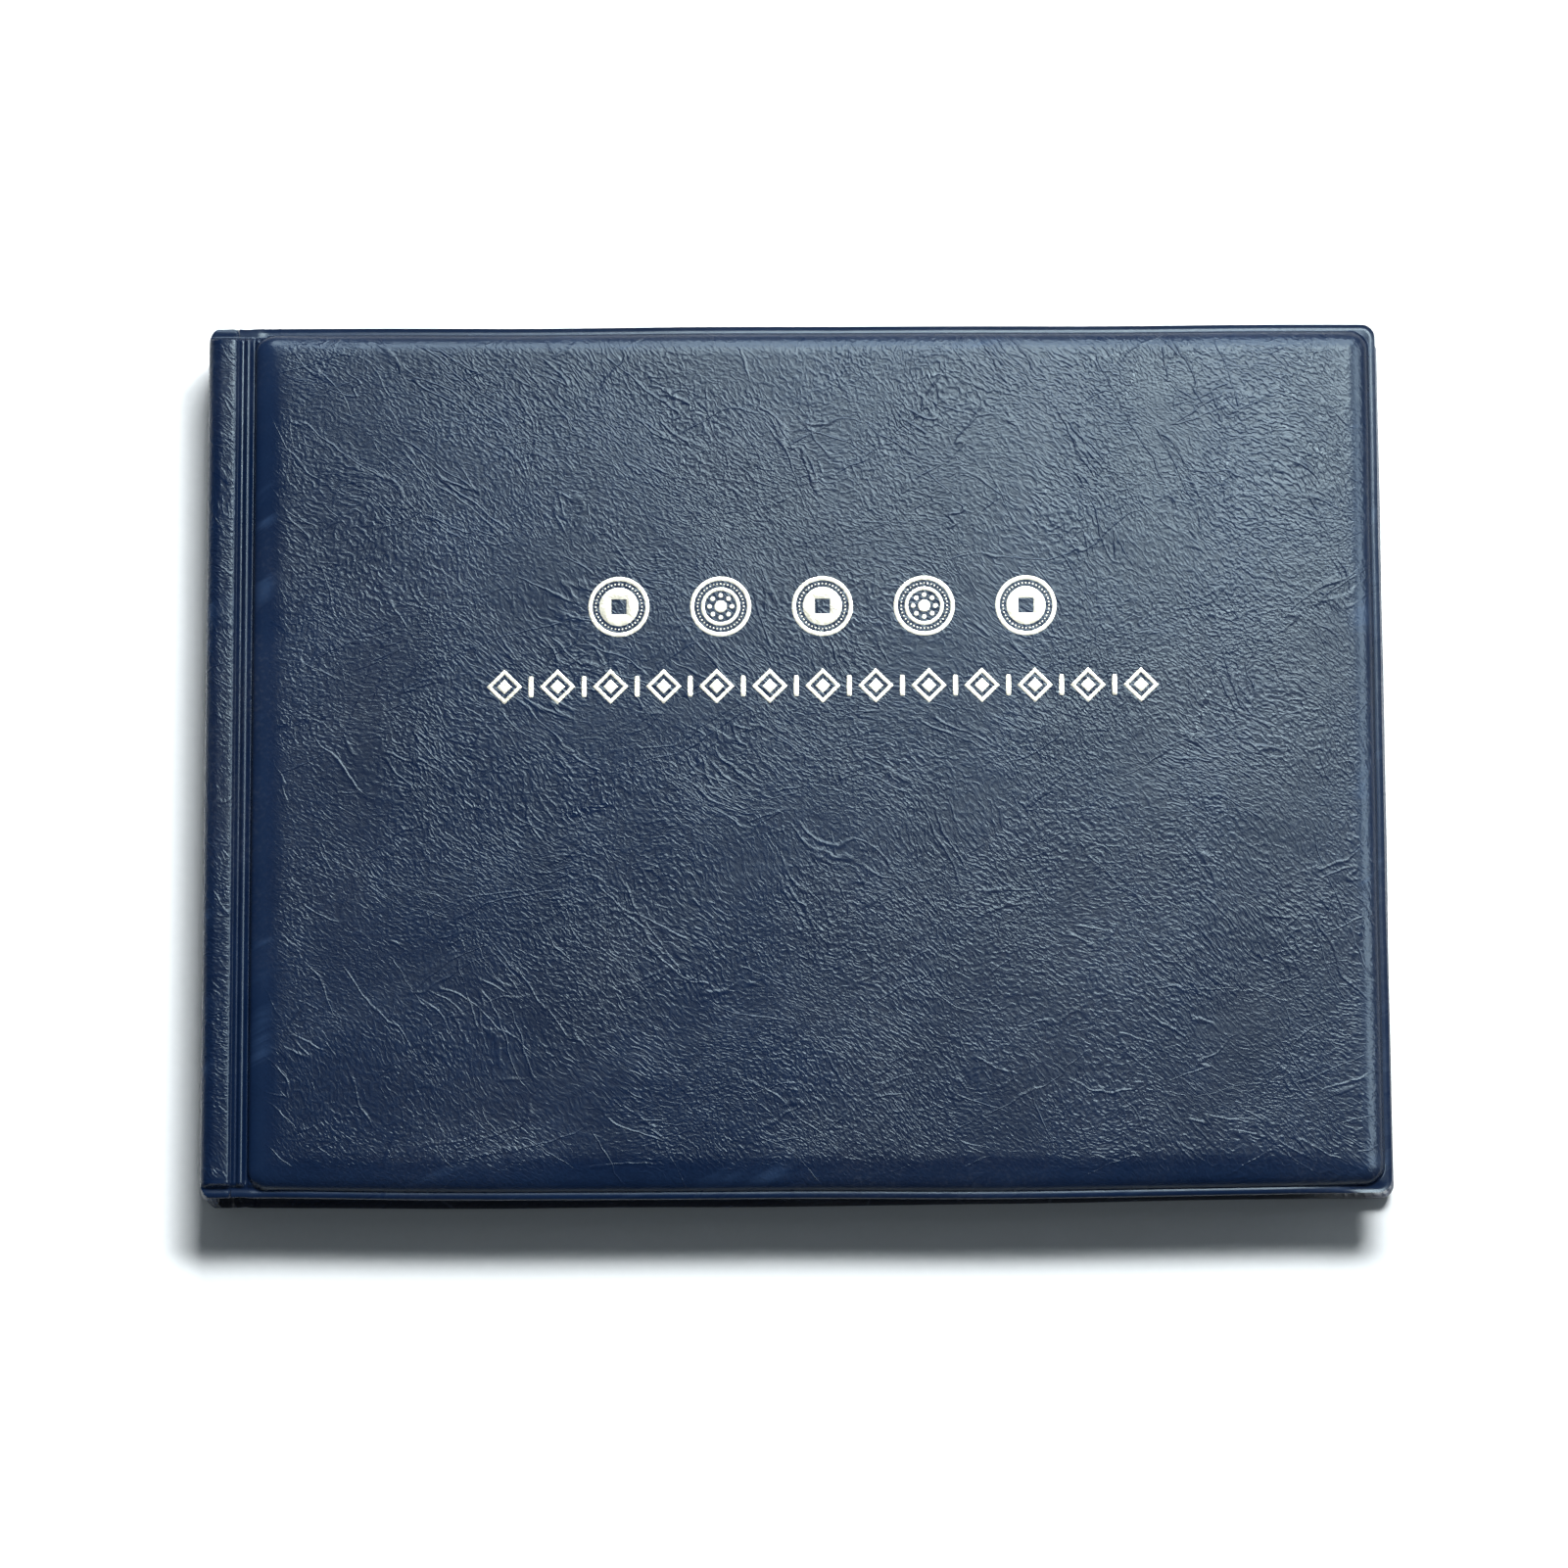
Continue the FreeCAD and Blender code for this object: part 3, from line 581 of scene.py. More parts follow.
def lining_pvc():
    """Smooth inner sheet: a fine matt emboss, weld marks near its rim, and a few scratches."""
    material, tree, shader = new_material("smooth_navy_lining", Specular_IOR_Level=0.45)
    age = use(tree, AGE, Dust_scale=20.0, Streak_scale=50.0)
    colour = mottled(tree, (0.012, 0.02, 0.045), (0.007, 0.012, 0.03), 25.0, 3000.0)
    colour = blended(tree, times(tree, age["Dust"], 0.08), colour, DUST)
    colour = blended(tree, times(tree, age["Scratch"], 0.35), colour, shade((0.08, 0.10, 0.15)))
    connect(tree, colour, shader["Base Color"])
    connect(tree, spread(tree, age["Rub"], 0.0, 1.0, 0.42, 0.56), shader["Roughness"])
    worn = point_value(tree, "worn")
    place = object_place(tree)
    emboss = noise(tree, place, 1500.0, 2.0, 0.5)
    first = bump(tree, shader, emboss, 0.05)
    mark = times(tree, use(tree, WELD, Rib_scale=260.0)[0], worn)
    bump(tree, shader, mark, 0.06, 0.8, first)
    return material


def grey_board():
    """Pulp board: flecks, fibres, and the layers that show at a cut edge."""
    material, tree, shader = new_material("grey_pulp_board", Roughness=0.92, Specular_IOR_Level=0.25)
    place = object_place(tree)
    colour = mottled(tree, (0.30, 0.29, 0.27), (0.20, 0.19, 0.18), 60.0, 900.0)
    fibre = noise(tree, stretched(tree, place, 0.2, 1.0, 30), 1800.0, 4.0, 0.6, 1.5)
    layers = noise(tree, scaled(tree, place, (0.05, 0.05, 1.0)), 4200.0, 1.0)
    fleck = spread(tree, fibre, 0.62, 0.75)
    colour = blended(tree, times(tree, fleck, 0.5), colour, shade((0.10, 0.09, 0.085)))
    connect(tree, colour, shader["Base Color"])
    rough = plus(tree, times(tree, fibre, 0.6), times(tree, layers, 0.8))
    bump(tree, shader, rough, 0.08)
    return material


def padding_foam():
    """Thin polyether foam: small open cells and a slight yellowing."""
    material, tree, shader = new_material("padding_foam", Roughness=0.95, Specular_IOR_Level=0.2)
    place = object_place(tree)
    colour = mottled(tree, (0.74, 0.72, 0.62), (0.60, 0.57, 0.45), 22.0, 1800.0)
    connect(tree, colour, shader["Base Color"])
    cells = add(tree, "TexVoronoi", {"feature": "F1"}, Vector=place, Scale=1500.0, Randomness=1.0)
    bump(tree, shader, cells.outputs["Distance"], 0.2)
    return material


def clear_pvc():
    """Pocket film: clear, glossy, a little cloudy at the welds, with waves and fine scratches."""
    material, tree, shader = new_material(
        "clear_pocket_pvc", IOR=1.54, Specular_IOR_Level=0.8, Coat_Weight=0.35, Coat_Roughness=0.06,
    )
    age = use(tree, AGE, Dust_scale=40.0, Streak_scale=90.0)
    welded = point_value(tree, "worn")
    colour = mottled(tree, (0.82, 0.87, 0.90), (0.70, 0.77, 0.83), 30.0, 600.0)
    connect(tree, colour, shader["Base Color"])
    # The film turns more opaque at glancing angles: painted reflection standing in for its sheen. The
    # cloudiness at the welds is real.
    glancing_reflection = add(tree, "LayerWeight", None, Blend=0.28).outputs["Facing"]
    body = plus(tree, times(tree, welded, 0.22), spread(tree, glancing_reflection, 0.0, 1.0, 0.13, 0.5))
    marks = plus(tree, times(tree, age["Scratch"], 0.25), times(tree, age["Rub"], 0.05))
    connect(tree, plus(tree, body, marks), shader["Alpha"])
    connect(tree, spread(tree, age["Rub"], 0.0, 1.0, 0.09, 0.22), shader["Roughness"])
    place = object_place(tree)
    waves = noise(tree, place, 70.0, 2.0, 0.5)
    first = bump(tree, shader, waves, 0.5)
    mark = times(tree, use(tree, WELD, Rib_scale=300.0)[0], welded)
    bump(tree, shader, mark, 0.10, 0.8, first)
    return material


def tab_pvc():
    """Coloured binding tab: a calendered sheet with a fine linen emboss."""
    material, tree, shader = new_material("blue_tab_pvc", Specular_IOR_Level=0.45)
    age = use(tree, AGE, Dust_scale=50.0, Streak_scale=120.0)
    colour = mottled(tree, (0.030, 0.060, 0.16), (0.018, 0.038, 0.11), 60.0, 2600.0)
    connect(tree, blended(tree, times(tree, age["Scratch"], 0.4), colour, shade((0.15, 0.2, 0.3))),
                   shader["Base Color"])
    connect(tree, spread(tree, age["Rub"], 0.0, 1.0, 0.38, 0.52), shader["Roughness"])
    bump(tree, shader, use(tree, WELD, Rib_scale=420.0)[0], 0.05)
    return material


def spacer_pvc():
    """Cut bars of stiff white sheet, with saw marks along them."""
    material, tree, shader = new_material("white_spacer_pvc", Specular_IOR_Level=0.4)
    place = object_place(tree)
    age = use(tree, AGE, Dust_scale=35.0, Streak_scale=80.0)
    colour = mottled(tree, (0.66, 0.67, 0.66), (0.52, 0.54, 0.55), 50.0, 1500.0)
    connect(tree, blended(tree, times(tree, age["Dust"], 0.35), colour, shade((0.3, 0.29, 0.27))),
                   shader["Base Color"])
    connect(tree, spread(tree, age["Rub"], 0.0, 1.0, 0.45, 0.62), shader["Roughness"])
    saw = noise(tree, scaled(tree, place, (1.0, 0.04, 1.0)), 3000.0, 2.0)
    bump(tree, shader, saw, 0.05)
    return material


def rivet_steel():
    """Nickelled rivet: small dents and tarnish."""
    material, tree, shader = new_material("nickelled_steel", Metallic=1.0)
    place = object_place(tree)
    age = use(tree, AGE, Dust_scale=400.0, Streak_scale=500.0)
    colour = blended(tree, age["Dust"], shade((0.62, 0.60, 0.56)), shade((0.30, 0.27, 0.22)))
    connect(tree, colour, shader["Base Color"])
    connect(tree, spread(tree, age["Rub"], 0.0, 1.0, 0.20, 0.42), shader["Roughness"])
    bump(tree, shader, noise(tree, place, 900.0, 3.0), 0.05)
    return material


def silver_foil():
    """Hot-stamped foil: pale, and painted darker in patches where the grain under it dips, which is painted
    shade.
    """
    material, tree, shader = new_material("pale_silver_foil", Metallic=0.3, Specular_IOR_Level=0.6)
    grain = use(tree, GRAIN, Wrinkle_scale=WRINKLE, Crease_scale=CREASE)
    age = use(tree, AGE, Dust_scale=60.0, Streak_scale=150.0)
    colour = mottled(tree, (0.63, 0.60, 0.50), (0.50, 0.475, 0.39), 220.0, 2600.0)
    # The foil is painted darker in the grain's valleys, in patches: painted shade.
    foil_valley_shade = times(tree, grain["Valley"], spread(tree, age["Rub"], 0.3, 1.0, 0.12, 0.4))
    connect(tree, blended(tree, foil_valley_shade, colour, shade((0.28, 0.28, 0.27))), shader["Base Color"])
    connect(tree, spread(tree, grain["Valley"], 0.0, 1.0, 0.30, 0.5), shader["Roughness"])
    bump(tree, shader, grain["Height"], 0.03)
    return material


PVC = grained_pvc()
INNER = lining_pvc()
BOARD = grey_board()
FOAM = padding_foam()
CLEAR = clear_pvc()
TAB = tab_pvc()
SPACER = spacer_pvc()
STEEL = rivet_steel()
FOIL = silver_foil()


# -------------------- covers

HINGE_MIDDLE = (film_low[0] + film_high[0]) / 2
LINING_Z = board_low[2] - 0.15
BACK_SLIP = (1.5, 0.9)          # the back cover's sheets have crept at the fore-edge, in x and y
FRONT_CROWN, BACK_CROWN = 0.16, 0.05    # how far the padding's middle stands over its rim
FRONT_PHASE, BACK_PHASE = 0.4, 2.6      # so that the two covers are not uneven in the same way
NEAR_BOW = 0.55                 # the near edge bows out by this at its middle
LIP = 0.1                       # upturned lip of the far and right edges
FOAM_GAP = 0.03                 # between the foam and the skin over it
END_WELD = 1.9                  # the sheets are welded flat across the spine's and hinge's ends
END_Z = GROOVE_Z - 0.65


def open_share(y):
    """0 on the flat weld at the near and far ends, and 1 past it."""
    return smooth((EDGE_Y - np.abs(y) - END_WELD + 0.45) / 0.8)


def hinge_height(x, y):
    """Top of the pressed hinge: a thin rib, a broad rib, and the dark groove before the pad."""
    return END_Z + (GROOVE_Z - END_Z + curve(x - SEAM_X, HINGE_KNOTS)) * open_share(y)


def hinge_share(x):
    """1 on the hinge and 0 on the cover's own border."""
    return 1 - smooth((x - PANEL_X) / 1.8)


def cover_top(x, y, crown, phase):
    """Height of a cover's outer skin, the same without its welded rim, and the insets of rim and pad."""
    rim = inset(x, y, SPINE_X - 40, EDGE_X, EDGE_Y, CORNER)
    pad = inset(x, y, PAD_START, EDGE_X - FLANGE, EDGE_Y - FLANGE, PAD_CORNER)
    hinge = hinge_share(x)
    border = FLANGE_Z + 0.2 * smooth((rim - 0.6) / 1.6)
    base = border + (hinge_height(x, y) - border) * hinge
    top = CASE_TOP - 0.06 + crown * (swell(x, y) - 1) + 0.05 * slack(x, y, phase)
    steep = 1.7 + 0.5 * (1 - smooth((x - PAD_START) / 12))
    crisp = np.maximum(smooth((y - EDGE_Y + 14) / 9), smooth((x - EDGE_X + 14) / 9))
    plain = base + (top - base) * shoulder(pad, PAD_REACH + (CRISP_REACH - PAD_REACH) * crisp, steep)
    weld = curve(rim, RIM_KNOTS)
    lip = LIP * (1 - np.clip(rim / 0.6, 0, 1))
    welded = (weld + (lip - weld) * crisp) * (1 - 0.6 * hinge)
    return plain + welded, plain, rim, pad


def pulled_in(x, y):
    """The near and far edges are drawn in a little at the hinge."""
    notch = 0.12 * hump(x - HINGE_MIDDLE, 1.3) * smooth((np.abs(y) - EDGE_Y + 4) / 4)
    return y - np.sign(y) * notch


def drifted(x, y, rim, phase, slip):
    """A cut edge is never quite straight, and a sheet may creep."""
    near = (1 - smooth(rim / 7)) * smooth((x - SEAM_X) / 12)
    crept = smooth((x - PANEL_X) / (EDGE_X - PANEL_X))
    new_x = x + slip[0] * crept + 0.10 * near * slack(x, 2.2 * y, phase + 1)
    bow = NEAR_BOW * smooth(-y / EDGE_Y - 0.6) / smooth(0.4) * smooth((EDGE_X - np.abs(x)) / 60)
    uneven = 0.12 * np.sign(y) * near * slack(2.2 * x, y, phase)
    return new_x, pulled_in(x, y) + slip[1] * crept - bow + uneven


def cover_grid():
    """Grid places of a cover's sheets, with round corners at the fore-edge."""
    x = lines(SEAM_X, EDGE_X, HINGE_STEPS, RIM_STEPS, COVER_STEP)
    y = lines(-EDGE_Y, EDGE_Y, RIM_STEPS, RIM_STEPS, COVER_STEP)
    x, y = np.meshgrid(x, y, indexing="ij")
    return round_corners(x, y, SEAM_X, EDGE_X, EDGE_Y, CORNER, False)


def bend_at_hinge(piece):
    """Bakes the piece's placement into its mesh."""
    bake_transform(piece)


def make_cover(cover, crown, phase, slip, side):
    """Outer wrap, inner lining and padding of a cover. SIDE puts points on the front or the back."""
    x, y = cover_grid()
    top, plain, rim, pad = cover_top(x, y, crown, phase)
    thickness = SKIN + (FILM - SKIN) * hinge_share(x)
    moved_x, moved_y = drifted(x, y, rim, phase, slip)
    grained = smooth((pad - 0.2) / 1.1) * smooth((x - PANEL_X - 1.2) / 5.5)
    worn = np.clip(hump(pad - 2.2, 1.5) + 0.6 * hump(rim - 0.7, 0.4), 0, 1)
    wrap = slab(
        f"{cover}_wrap", side(stack(moved_x, moved_y, top)), side(stack(moved_x, moved_y, plain - thickness)),
        PVC, grained=grained, worn=worn,
    )
    bend_at_hinge(wrap)

    pressed = 1 - smooth((x - PANEL_X + 0.25) / 0.75)
    middle = LINING_Z + (hinge_height(x, y) - FILM - LINING / 2 - LINING_Z) * pressed
    weld = smooth((rim - 0.2) / 0.2) * (1 - smooth((rim - 2.0) / 0.3))
    mark = 0.07 * hump(rim - 1.2, 0.5)
    lining = slab(
        f"{cover}_lining", side(stack(moved_x, moved_y, middle + LINING / 2)),
        side(stack(moved_x, moved_y, middle - LINING / 2 + mark)), INNER, worn=weld,
    )
    bend_at_hinge(lining)

    px = lines(board_low[0], board_high[0], RIM_STEPS[::3], RIM_STEPS[::3], SHEET_STEP)
    py = lines(board_low[1], board_high[1], RIM_STEPS[::3], RIM_STEPS[::3], SHEET_STEP)
    px, py = np.meshgrid(px, py, indexing="ij")
    px, py = round_corners(px, py, board_low[0], board_high[0], board_high[1], 2.6, True)
    bed = board_high[2] + 0.02
    under_skin = np.maximum(cover_top(px, py, crown, phase)[1] - SKIN - FOAM_GAP, bed + 0.03)
    padding = slab(f"{cover}_padding", side(stack(px, py, under_skin)), side(stack(px, py, bed)), FOAM)
    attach(padding, cover)
    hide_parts(f"{cover}_foam")
    return wrap, lining


front_wrap, front_lining = make_cover(
    "front_cover", FRONT_CROWN, FRONT_PHASE, (0.0, 0.0), lambda points: points,
)
back_wrap, back_lining = make_cover("back_cover", BACK_CROWN, BACK_PHASE, BACK_SLIP, flip)
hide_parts("front_cover_skin", "front_hinge_film")
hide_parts("back_cover_skin", "back_hinge_film")
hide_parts("front_cover_liner")
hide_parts("back_cover_liner")


# -------------------- spine

SPINE_ROUND = 2.4
STRIP_KNOTS = [
    (0, 0), (0.12, 0.12), (0.3, 0.42), (0.6, 0.66), (1.0, 0.74), (1.85, 0.76), (2.85, 0.75), (4.0, 0.75),
]
LINING_DROP = SKIN + 0.02       # the spine's lining lies this far below its skin at the ends


def arc(centre_x, centre_z, radius, count):
    """A quarter turn from straight up to straight out, as (x, z)."""
    angle = np.linspace(math.pi / 2, math.pi, count)
    return np.stack([centre_x + radius * np.cos(angle), centre_z + radius * np.sin(angle)], -1)


def both_halves(half):
    """A section mirrored about the middle height."""
    mirrored = half[:-1][::-1] * (1, -1) + (0, 2 * MIDDLE_Z)
    return np.concatenate([half, mirrored])


def down(x, top, bulge, count):
    """The spine's face, from the corner down to the middle height."""
    z = np.linspace(top, MIDDLE_Z, count)[1:]
    return np.stack([x - bulge * (1 - ((z - MIDDLE_Z) / (top - MIDDLE_Z)) ** 2), z], -1)


def press_ends(grid, y, below):
    """Flattens a spine sheet at its two ends, to the weld's level less BELOW."""
    height = grid[..., 2] - MIDDLE_Z
    proud = np.maximum(np.abs(height) - (END_Z - below - MIDDLE_Z), 0) * (1 - open_share(y)[None, :])
    grid[..., 2] -= np.sign(height) * proud


def spine_wrap():
    """Outer skin round the spine and both strips, drawn flat at its two ends."""
    across = np.array([0, 0.07, 0.14, 0.22, 0.32, 0.45, 0.6, 0.8, 1.05, 1.4, 1.85, 2.4])
    strip = np.stack([SEAM_X - across, GROOVE_Z + curve(across, STRIP_KNOTS)], -1)
    corner = arc(SPINE_X + SPINE_ROUND, STRIP_Z - SPINE_ROUND, SPINE_ROUND, 12)
    face = down(SPINE_X, STRIP_Z - SPINE_ROUND, 0.2, 8)
    path = both_halves(np.concatenate([strip, corner, face]))
    y = lines(-EDGE_Y, EDGE_Y, RIM_STEPS, RIM_STEPS, COVER_STEP)
    from_seam = (SEAM_X - path[:, 0])[:, None]
    from_end = (EDGE_Y - np.abs(y))[None, :]
    level_sheet = np.zeros((len(path), len(y)))
    _, normal = ribbon(path, y, level_sheet, level_sheet)
    level = normal[:, 1:] ** 2
    upright = normal[:, :1] ** 2
    away = smooth(from_seam / 1.4)
    turn = np.clip(1 - from_end / CORNER, 0, 1)
    flat = -CORNER * upright * (1 - np.sqrt(1 - turn ** 2))
    flat = flat + 0.04 * away * slack(8 * from_seam, y[None, :], 1.3)
    thickness = FILM + (SKIN - FILM) * smooth(from_seam / 1.0)
    (outer, inner), _ = ribbon(path, y, flat, flat - thickness)
    press_ends(outer, y, 0.0)
    press_ends(inner, y, thickness)
    outer += 0.6 * curve(from_end, RIM_KNOTS)[..., None] * stack(normal[:, :1], 0.0, normal[:, 1:])
    grained = smooth((from_seam - 0.25) / 0.3) * smooth((from_end - 2.6) / 0.8)
    worn = hump(level - 0.5, 0.35) * smooth(from_seam) * grained + 0.5 * hump(from_end - 0.7, 0.4)
    for grid in (outer, inner):
        grid[..., 1] = pulled_in(grid[..., 0], grid[..., 1])
    wrap = slab("spine_wrap", outer, inner, PVC, grained=grained, worn=np.clip(worn, 0, 1))
    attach(wrap, "binding")
    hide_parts("spine_skin")


def spine_lining():
    """Inner sheet behind the spine and under both strips."""
    inner_x = liner_low[0] + 0.15
    start = GROOVE_Z - FILM - LINING / 2
    under = (SEAM_X, 0) + np.array([
        (0, start), (-0.15, start - 0.05), (-0.3, start - 0.28), (-0.43, start - 0.62),
        (-0.6, LINING_Z + 0.1), (-0.85, LINING_Z + 0.01), (-1.75, LINING_Z),
    ])
    corner = arc(inner_x + 0.6, LINING_Z - 0.6, 0.6, 6)
    face = down(inner_x, LINING_Z - 0.6, 0.0, 8)
    path = both_halves(np.concatenate([under, corner, face]))
    y = lines(-EDGE_Y, EDGE_Y, RIM_STEPS[::2], RIM_STEPS[::2], SHEET_STEP)
    from_end = (EDGE_Y - np.abs(y))[None, :] + np.zeros((len(path), 1))
    half = np.full(from_end.shape, LINING / 2)
    (outer, inner), _ = ribbon(path, y, half, -half + 0.07 * hump(from_end - 1.2, 0.5))
    press_ends(outer, y, LINING_DROP)
    press_ends(inner, y, LINING_DROP + LINING)
    for grid in (outer, inner):
        grid[..., 1] = pulled_in(grid[..., 0], grid[..., 1])
    weld = smooth((from_end - 0.2) / 0.2) * (1 - smooth((from_end - 2.0) / 0.3))
    lining = slab("spine_lining", outer, inner, INNER, worn=weld)
    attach(lining, "binding")
    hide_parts("spine_liner")


spine_wrap()
spine_lining()


# -------------------- stamped ornament

FOIL_TOP, FOIL_EDGE, FOIL_FOOT = 0.065, 0.04, -0.05     # over the skin; the foot is pressed into it
FOIL_ROUND = 0.07               # width of a foil piece's rounded edge


def ring_faces(first, loops, size, closed):
    """Quads between rings of SIZE points, the first of which starts at point FIRST."""
    faces = []
    for k in range(loops if closed else loops - 1):
        a, b = first + k * size, first + (k + 1) % loops * size
        faces.extend([a + i, a + (i + 1) % size, b + (i + 1) % size, b + i] for i in range(size))
    return faces


def stamped(shapes, name, node):
    """Foil laid on the front cover. Each shape is (x, y, inner, outer), with its radii by direction."""
    angle = np.linspace(0, 2 * math.pi, 64, endpoint=False)
    size = len(angle)
    points, faces = [], []
    for x, y, inner, outer in shapes:
        out = outer(angle)
        edge = np.minimum(FOIL_ROUND, out * 0.2)
        rings = [(out - edge, FOIL_TOP), (out, FOIL_EDGE), (out, FOIL_FOOT)]
        if inner:
            hole = inner(angle)
            rings = [(hole, FOIL_FOOT), (hole, FOIL_EDGE), (hole + edge, FOIL_TOP)] + rings
        else:
            rings = [(out * 0.35, FOIL_TOP), (out * 0.7, FOIL_TOP)] + rings
            rings += [(out * 0.7, FOIL_FOOT), (out * 0.35, FOIL_FOOT)]
        first = len(points)
        for radius, lift in rings:
            px, py = x + radius * np.cos(angle), y + radius * np.sin(angle)
            height = cover_top(px, py, FRONT_CROWN, FRONT_PHASE)[0]
            points.extend(np.stack([px, py, height + lift], -1).tolist())
        faces.extend(ring_faces(first, len(rings), size, bool(inner)))
        if not inner:
            middle = cover_top(np.array([x]), np.array([y]), FRONT_CROWN, FRONT_PHASE)[0][0]
            for start, lift in ((first, FOIL_TOP), (first + (len(rings) - 1) * size, FOIL_FOOT)):
                points.append([x, y, middle + lift])
                tip = len(points) - 1
                faces.extend([start + i, start + (i + 1) % size, tip] for i in range(size))
    piece = piece_from(name, points, faces, FOIL)
    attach(piece, "front_cover")
    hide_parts(node)


def round_of(radius):
    return lambda angle: np.full(angle.shape, radius)


def square_of(half):
    return lambda angle: half / np.maximum(np.abs(np.cos(angle)), np.abs(np.sin(angle)))


def lozenge_of(half_x, half_y):
    return lambda angle: 1 / (np.abs(np.cos(angle)) / half_x + np.abs(np.sin(angle)) / half_y)


def bar_of(half_x, half_y):
    return lambda angle: (np.abs(np.cos(angle) / half_x) ** 8 + np.abs(np.sin(angle) / half_y) ** 8) ** -0.125


def dots(x, y, at, count, radius):
    """Small round dots on a circle of radius AT."""
    turns = [2 * math.pi * k / count for k in range(count)]
    return [(x + at * math.cos(turn), y + at * math.sin(turn), None, round_of(radius)) for turn in turns]


def coin_roundels():
    """Plain coins: a rim and a ring of beads, round a square hole or a flower of dots by turns."""
    low, high = node_box("coin_roundels")
    radius = (high[1] - low[1]) / 2
    y = (low[1] + high[1]) / 2
    shapes = []
    for i, x in enumerate(np.linspace(low[0] + radius, high[0] - radius, 5)):
        shapes.append((x, y, round_of(radius * 0.865), round_of(radius)))
        shapes += dots(x, y, radius * 0.755, 40, radius * 0.028)
        core = radius * 0.64
        if i % 2 == 0:
            shapes.append((x, y, square_of(radius * 0.25), round_of(core)))
        else:
            shapes.append((x, y, round_of(core * 0.82), round_of(core)))
            shapes.append((x, y, None, round_of(radius * 0.2)))
            shapes += dots(x, y, radius * 0.365, 8, radius * 0.075)
    stamped(shapes, "coin_roundel_foil", "coin_roundels")


def ornament_band():
    """A row of lozenges with a short bar between each two."""
    low, high = node_box("ornament_band")
    half = (high[1] - low[1]) / 2
    y = (low[1] + high[1]) / 2
    places = np.linspace(low[0] + half, high[0] - half, 13)
    shapes = []
    for i, x in enumerate(places):
        shapes.append((x, y, lozenge_of(half * 0.72, half * 0.72), lozenge_of(half, half)))
        shapes.append((x, y, None, lozenge_of(half * 0.42, half * 0.42)))
        if i:
            between = (x + places[i - 1]) / 2
            shapes.append((between, y, None, bar_of(half / 7, half * 0.6)))
    stamped(shapes, "ornament_band_foil", "ornament_band")


coin_roundels()
ornament_band()


# -------------------- binding

def rivets():
    """Three hollow rivets with rolled heads."""
    low, high = node_box("binding_rivets")
    head = (high[0] - low[0]) / 2
    x = (low[0] + high[0]) / 2
    half = [                    # radius, and depth below the head's top
        (0.60, 0.55), (0.63, 0.25), (0.78, 0.07), (1.05, 0.0), (1.55, 0.02), (1.9, 0.10), (head, 0.24),
        (head - 0.06, 0.36), (head - 0.25, 0.43), (1.3, 0.45), (1.12, 0.5), (1.1, 0.8),
    ]
    section = [(r, low[2] + d) for r, d in half] + [(r, high[2] - d) for r, d in half[::-1]]
    angle = np.linspace(0, 2 * math.pi, 40, endpoint=False)
    points, faces = [], []
    size = len(angle)
    for y in np.linspace(low[1] + head, high[1] - head, 3):
        first = len(points)
        for radius, z in section:
            ring = stack(x + radius * np.cos(angle), y + radius * np.sin(angle), z)
            points.extend(ring.tolist())
        faces.extend(ring_faces(first, len(section), size, True))
    piece = piece_from("rolled_rivets", points, faces, STEEL)
    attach(piece, "binding")
    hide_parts("binding_rivets")


rivets()
for node, material in (
    ("front_cover_board", BOARD), ("back_cover_board", BOARD), ("spine_board", BOARD),
    ("front_strip_board", BOARD), ("back_strip_board", BOARD), ("leaf_spacers", SPACER),
):
    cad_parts[node].material_slots[0].material = material


# -------------------- leaves

COLUMNS, ROWS = 6, 4
SEAM = 0.9                      # width of a welded seam
MOUTH = 1.2                     # slit along the upper edge of a row
SEAM_STEPS = [-2.6, -1.2, -0.6, -0.3, 0.3, 0.6, 1.2, 2.6]


def seam_lines(low, high, count, extra):
    """Grid places along a leaf: close together at its seams. EXTRA are further steps beside each seam."""
    seams = np.linspace(low + SEAM / 2, high - SEAM / 2, count + 1)
    places = {round(low, 4), round(high, 4)}
    for seam in seams:
        places |= {round(seam + d, 4) for d in SEAM_STEPS + extra}
    for a, b in zip(seams[:-1], seams[1:]):
        places |= {round(a + (b - a) * share, 4) for share in (0.3, 0.5, 0.7)}
    return np.array(sorted(p for p in places if low <= p <= high)), seams


def nearest(place, seams):
    """Distance to the nearest seam."""
    return np.min(np.abs(place[..., None] - seams), axis=-1)


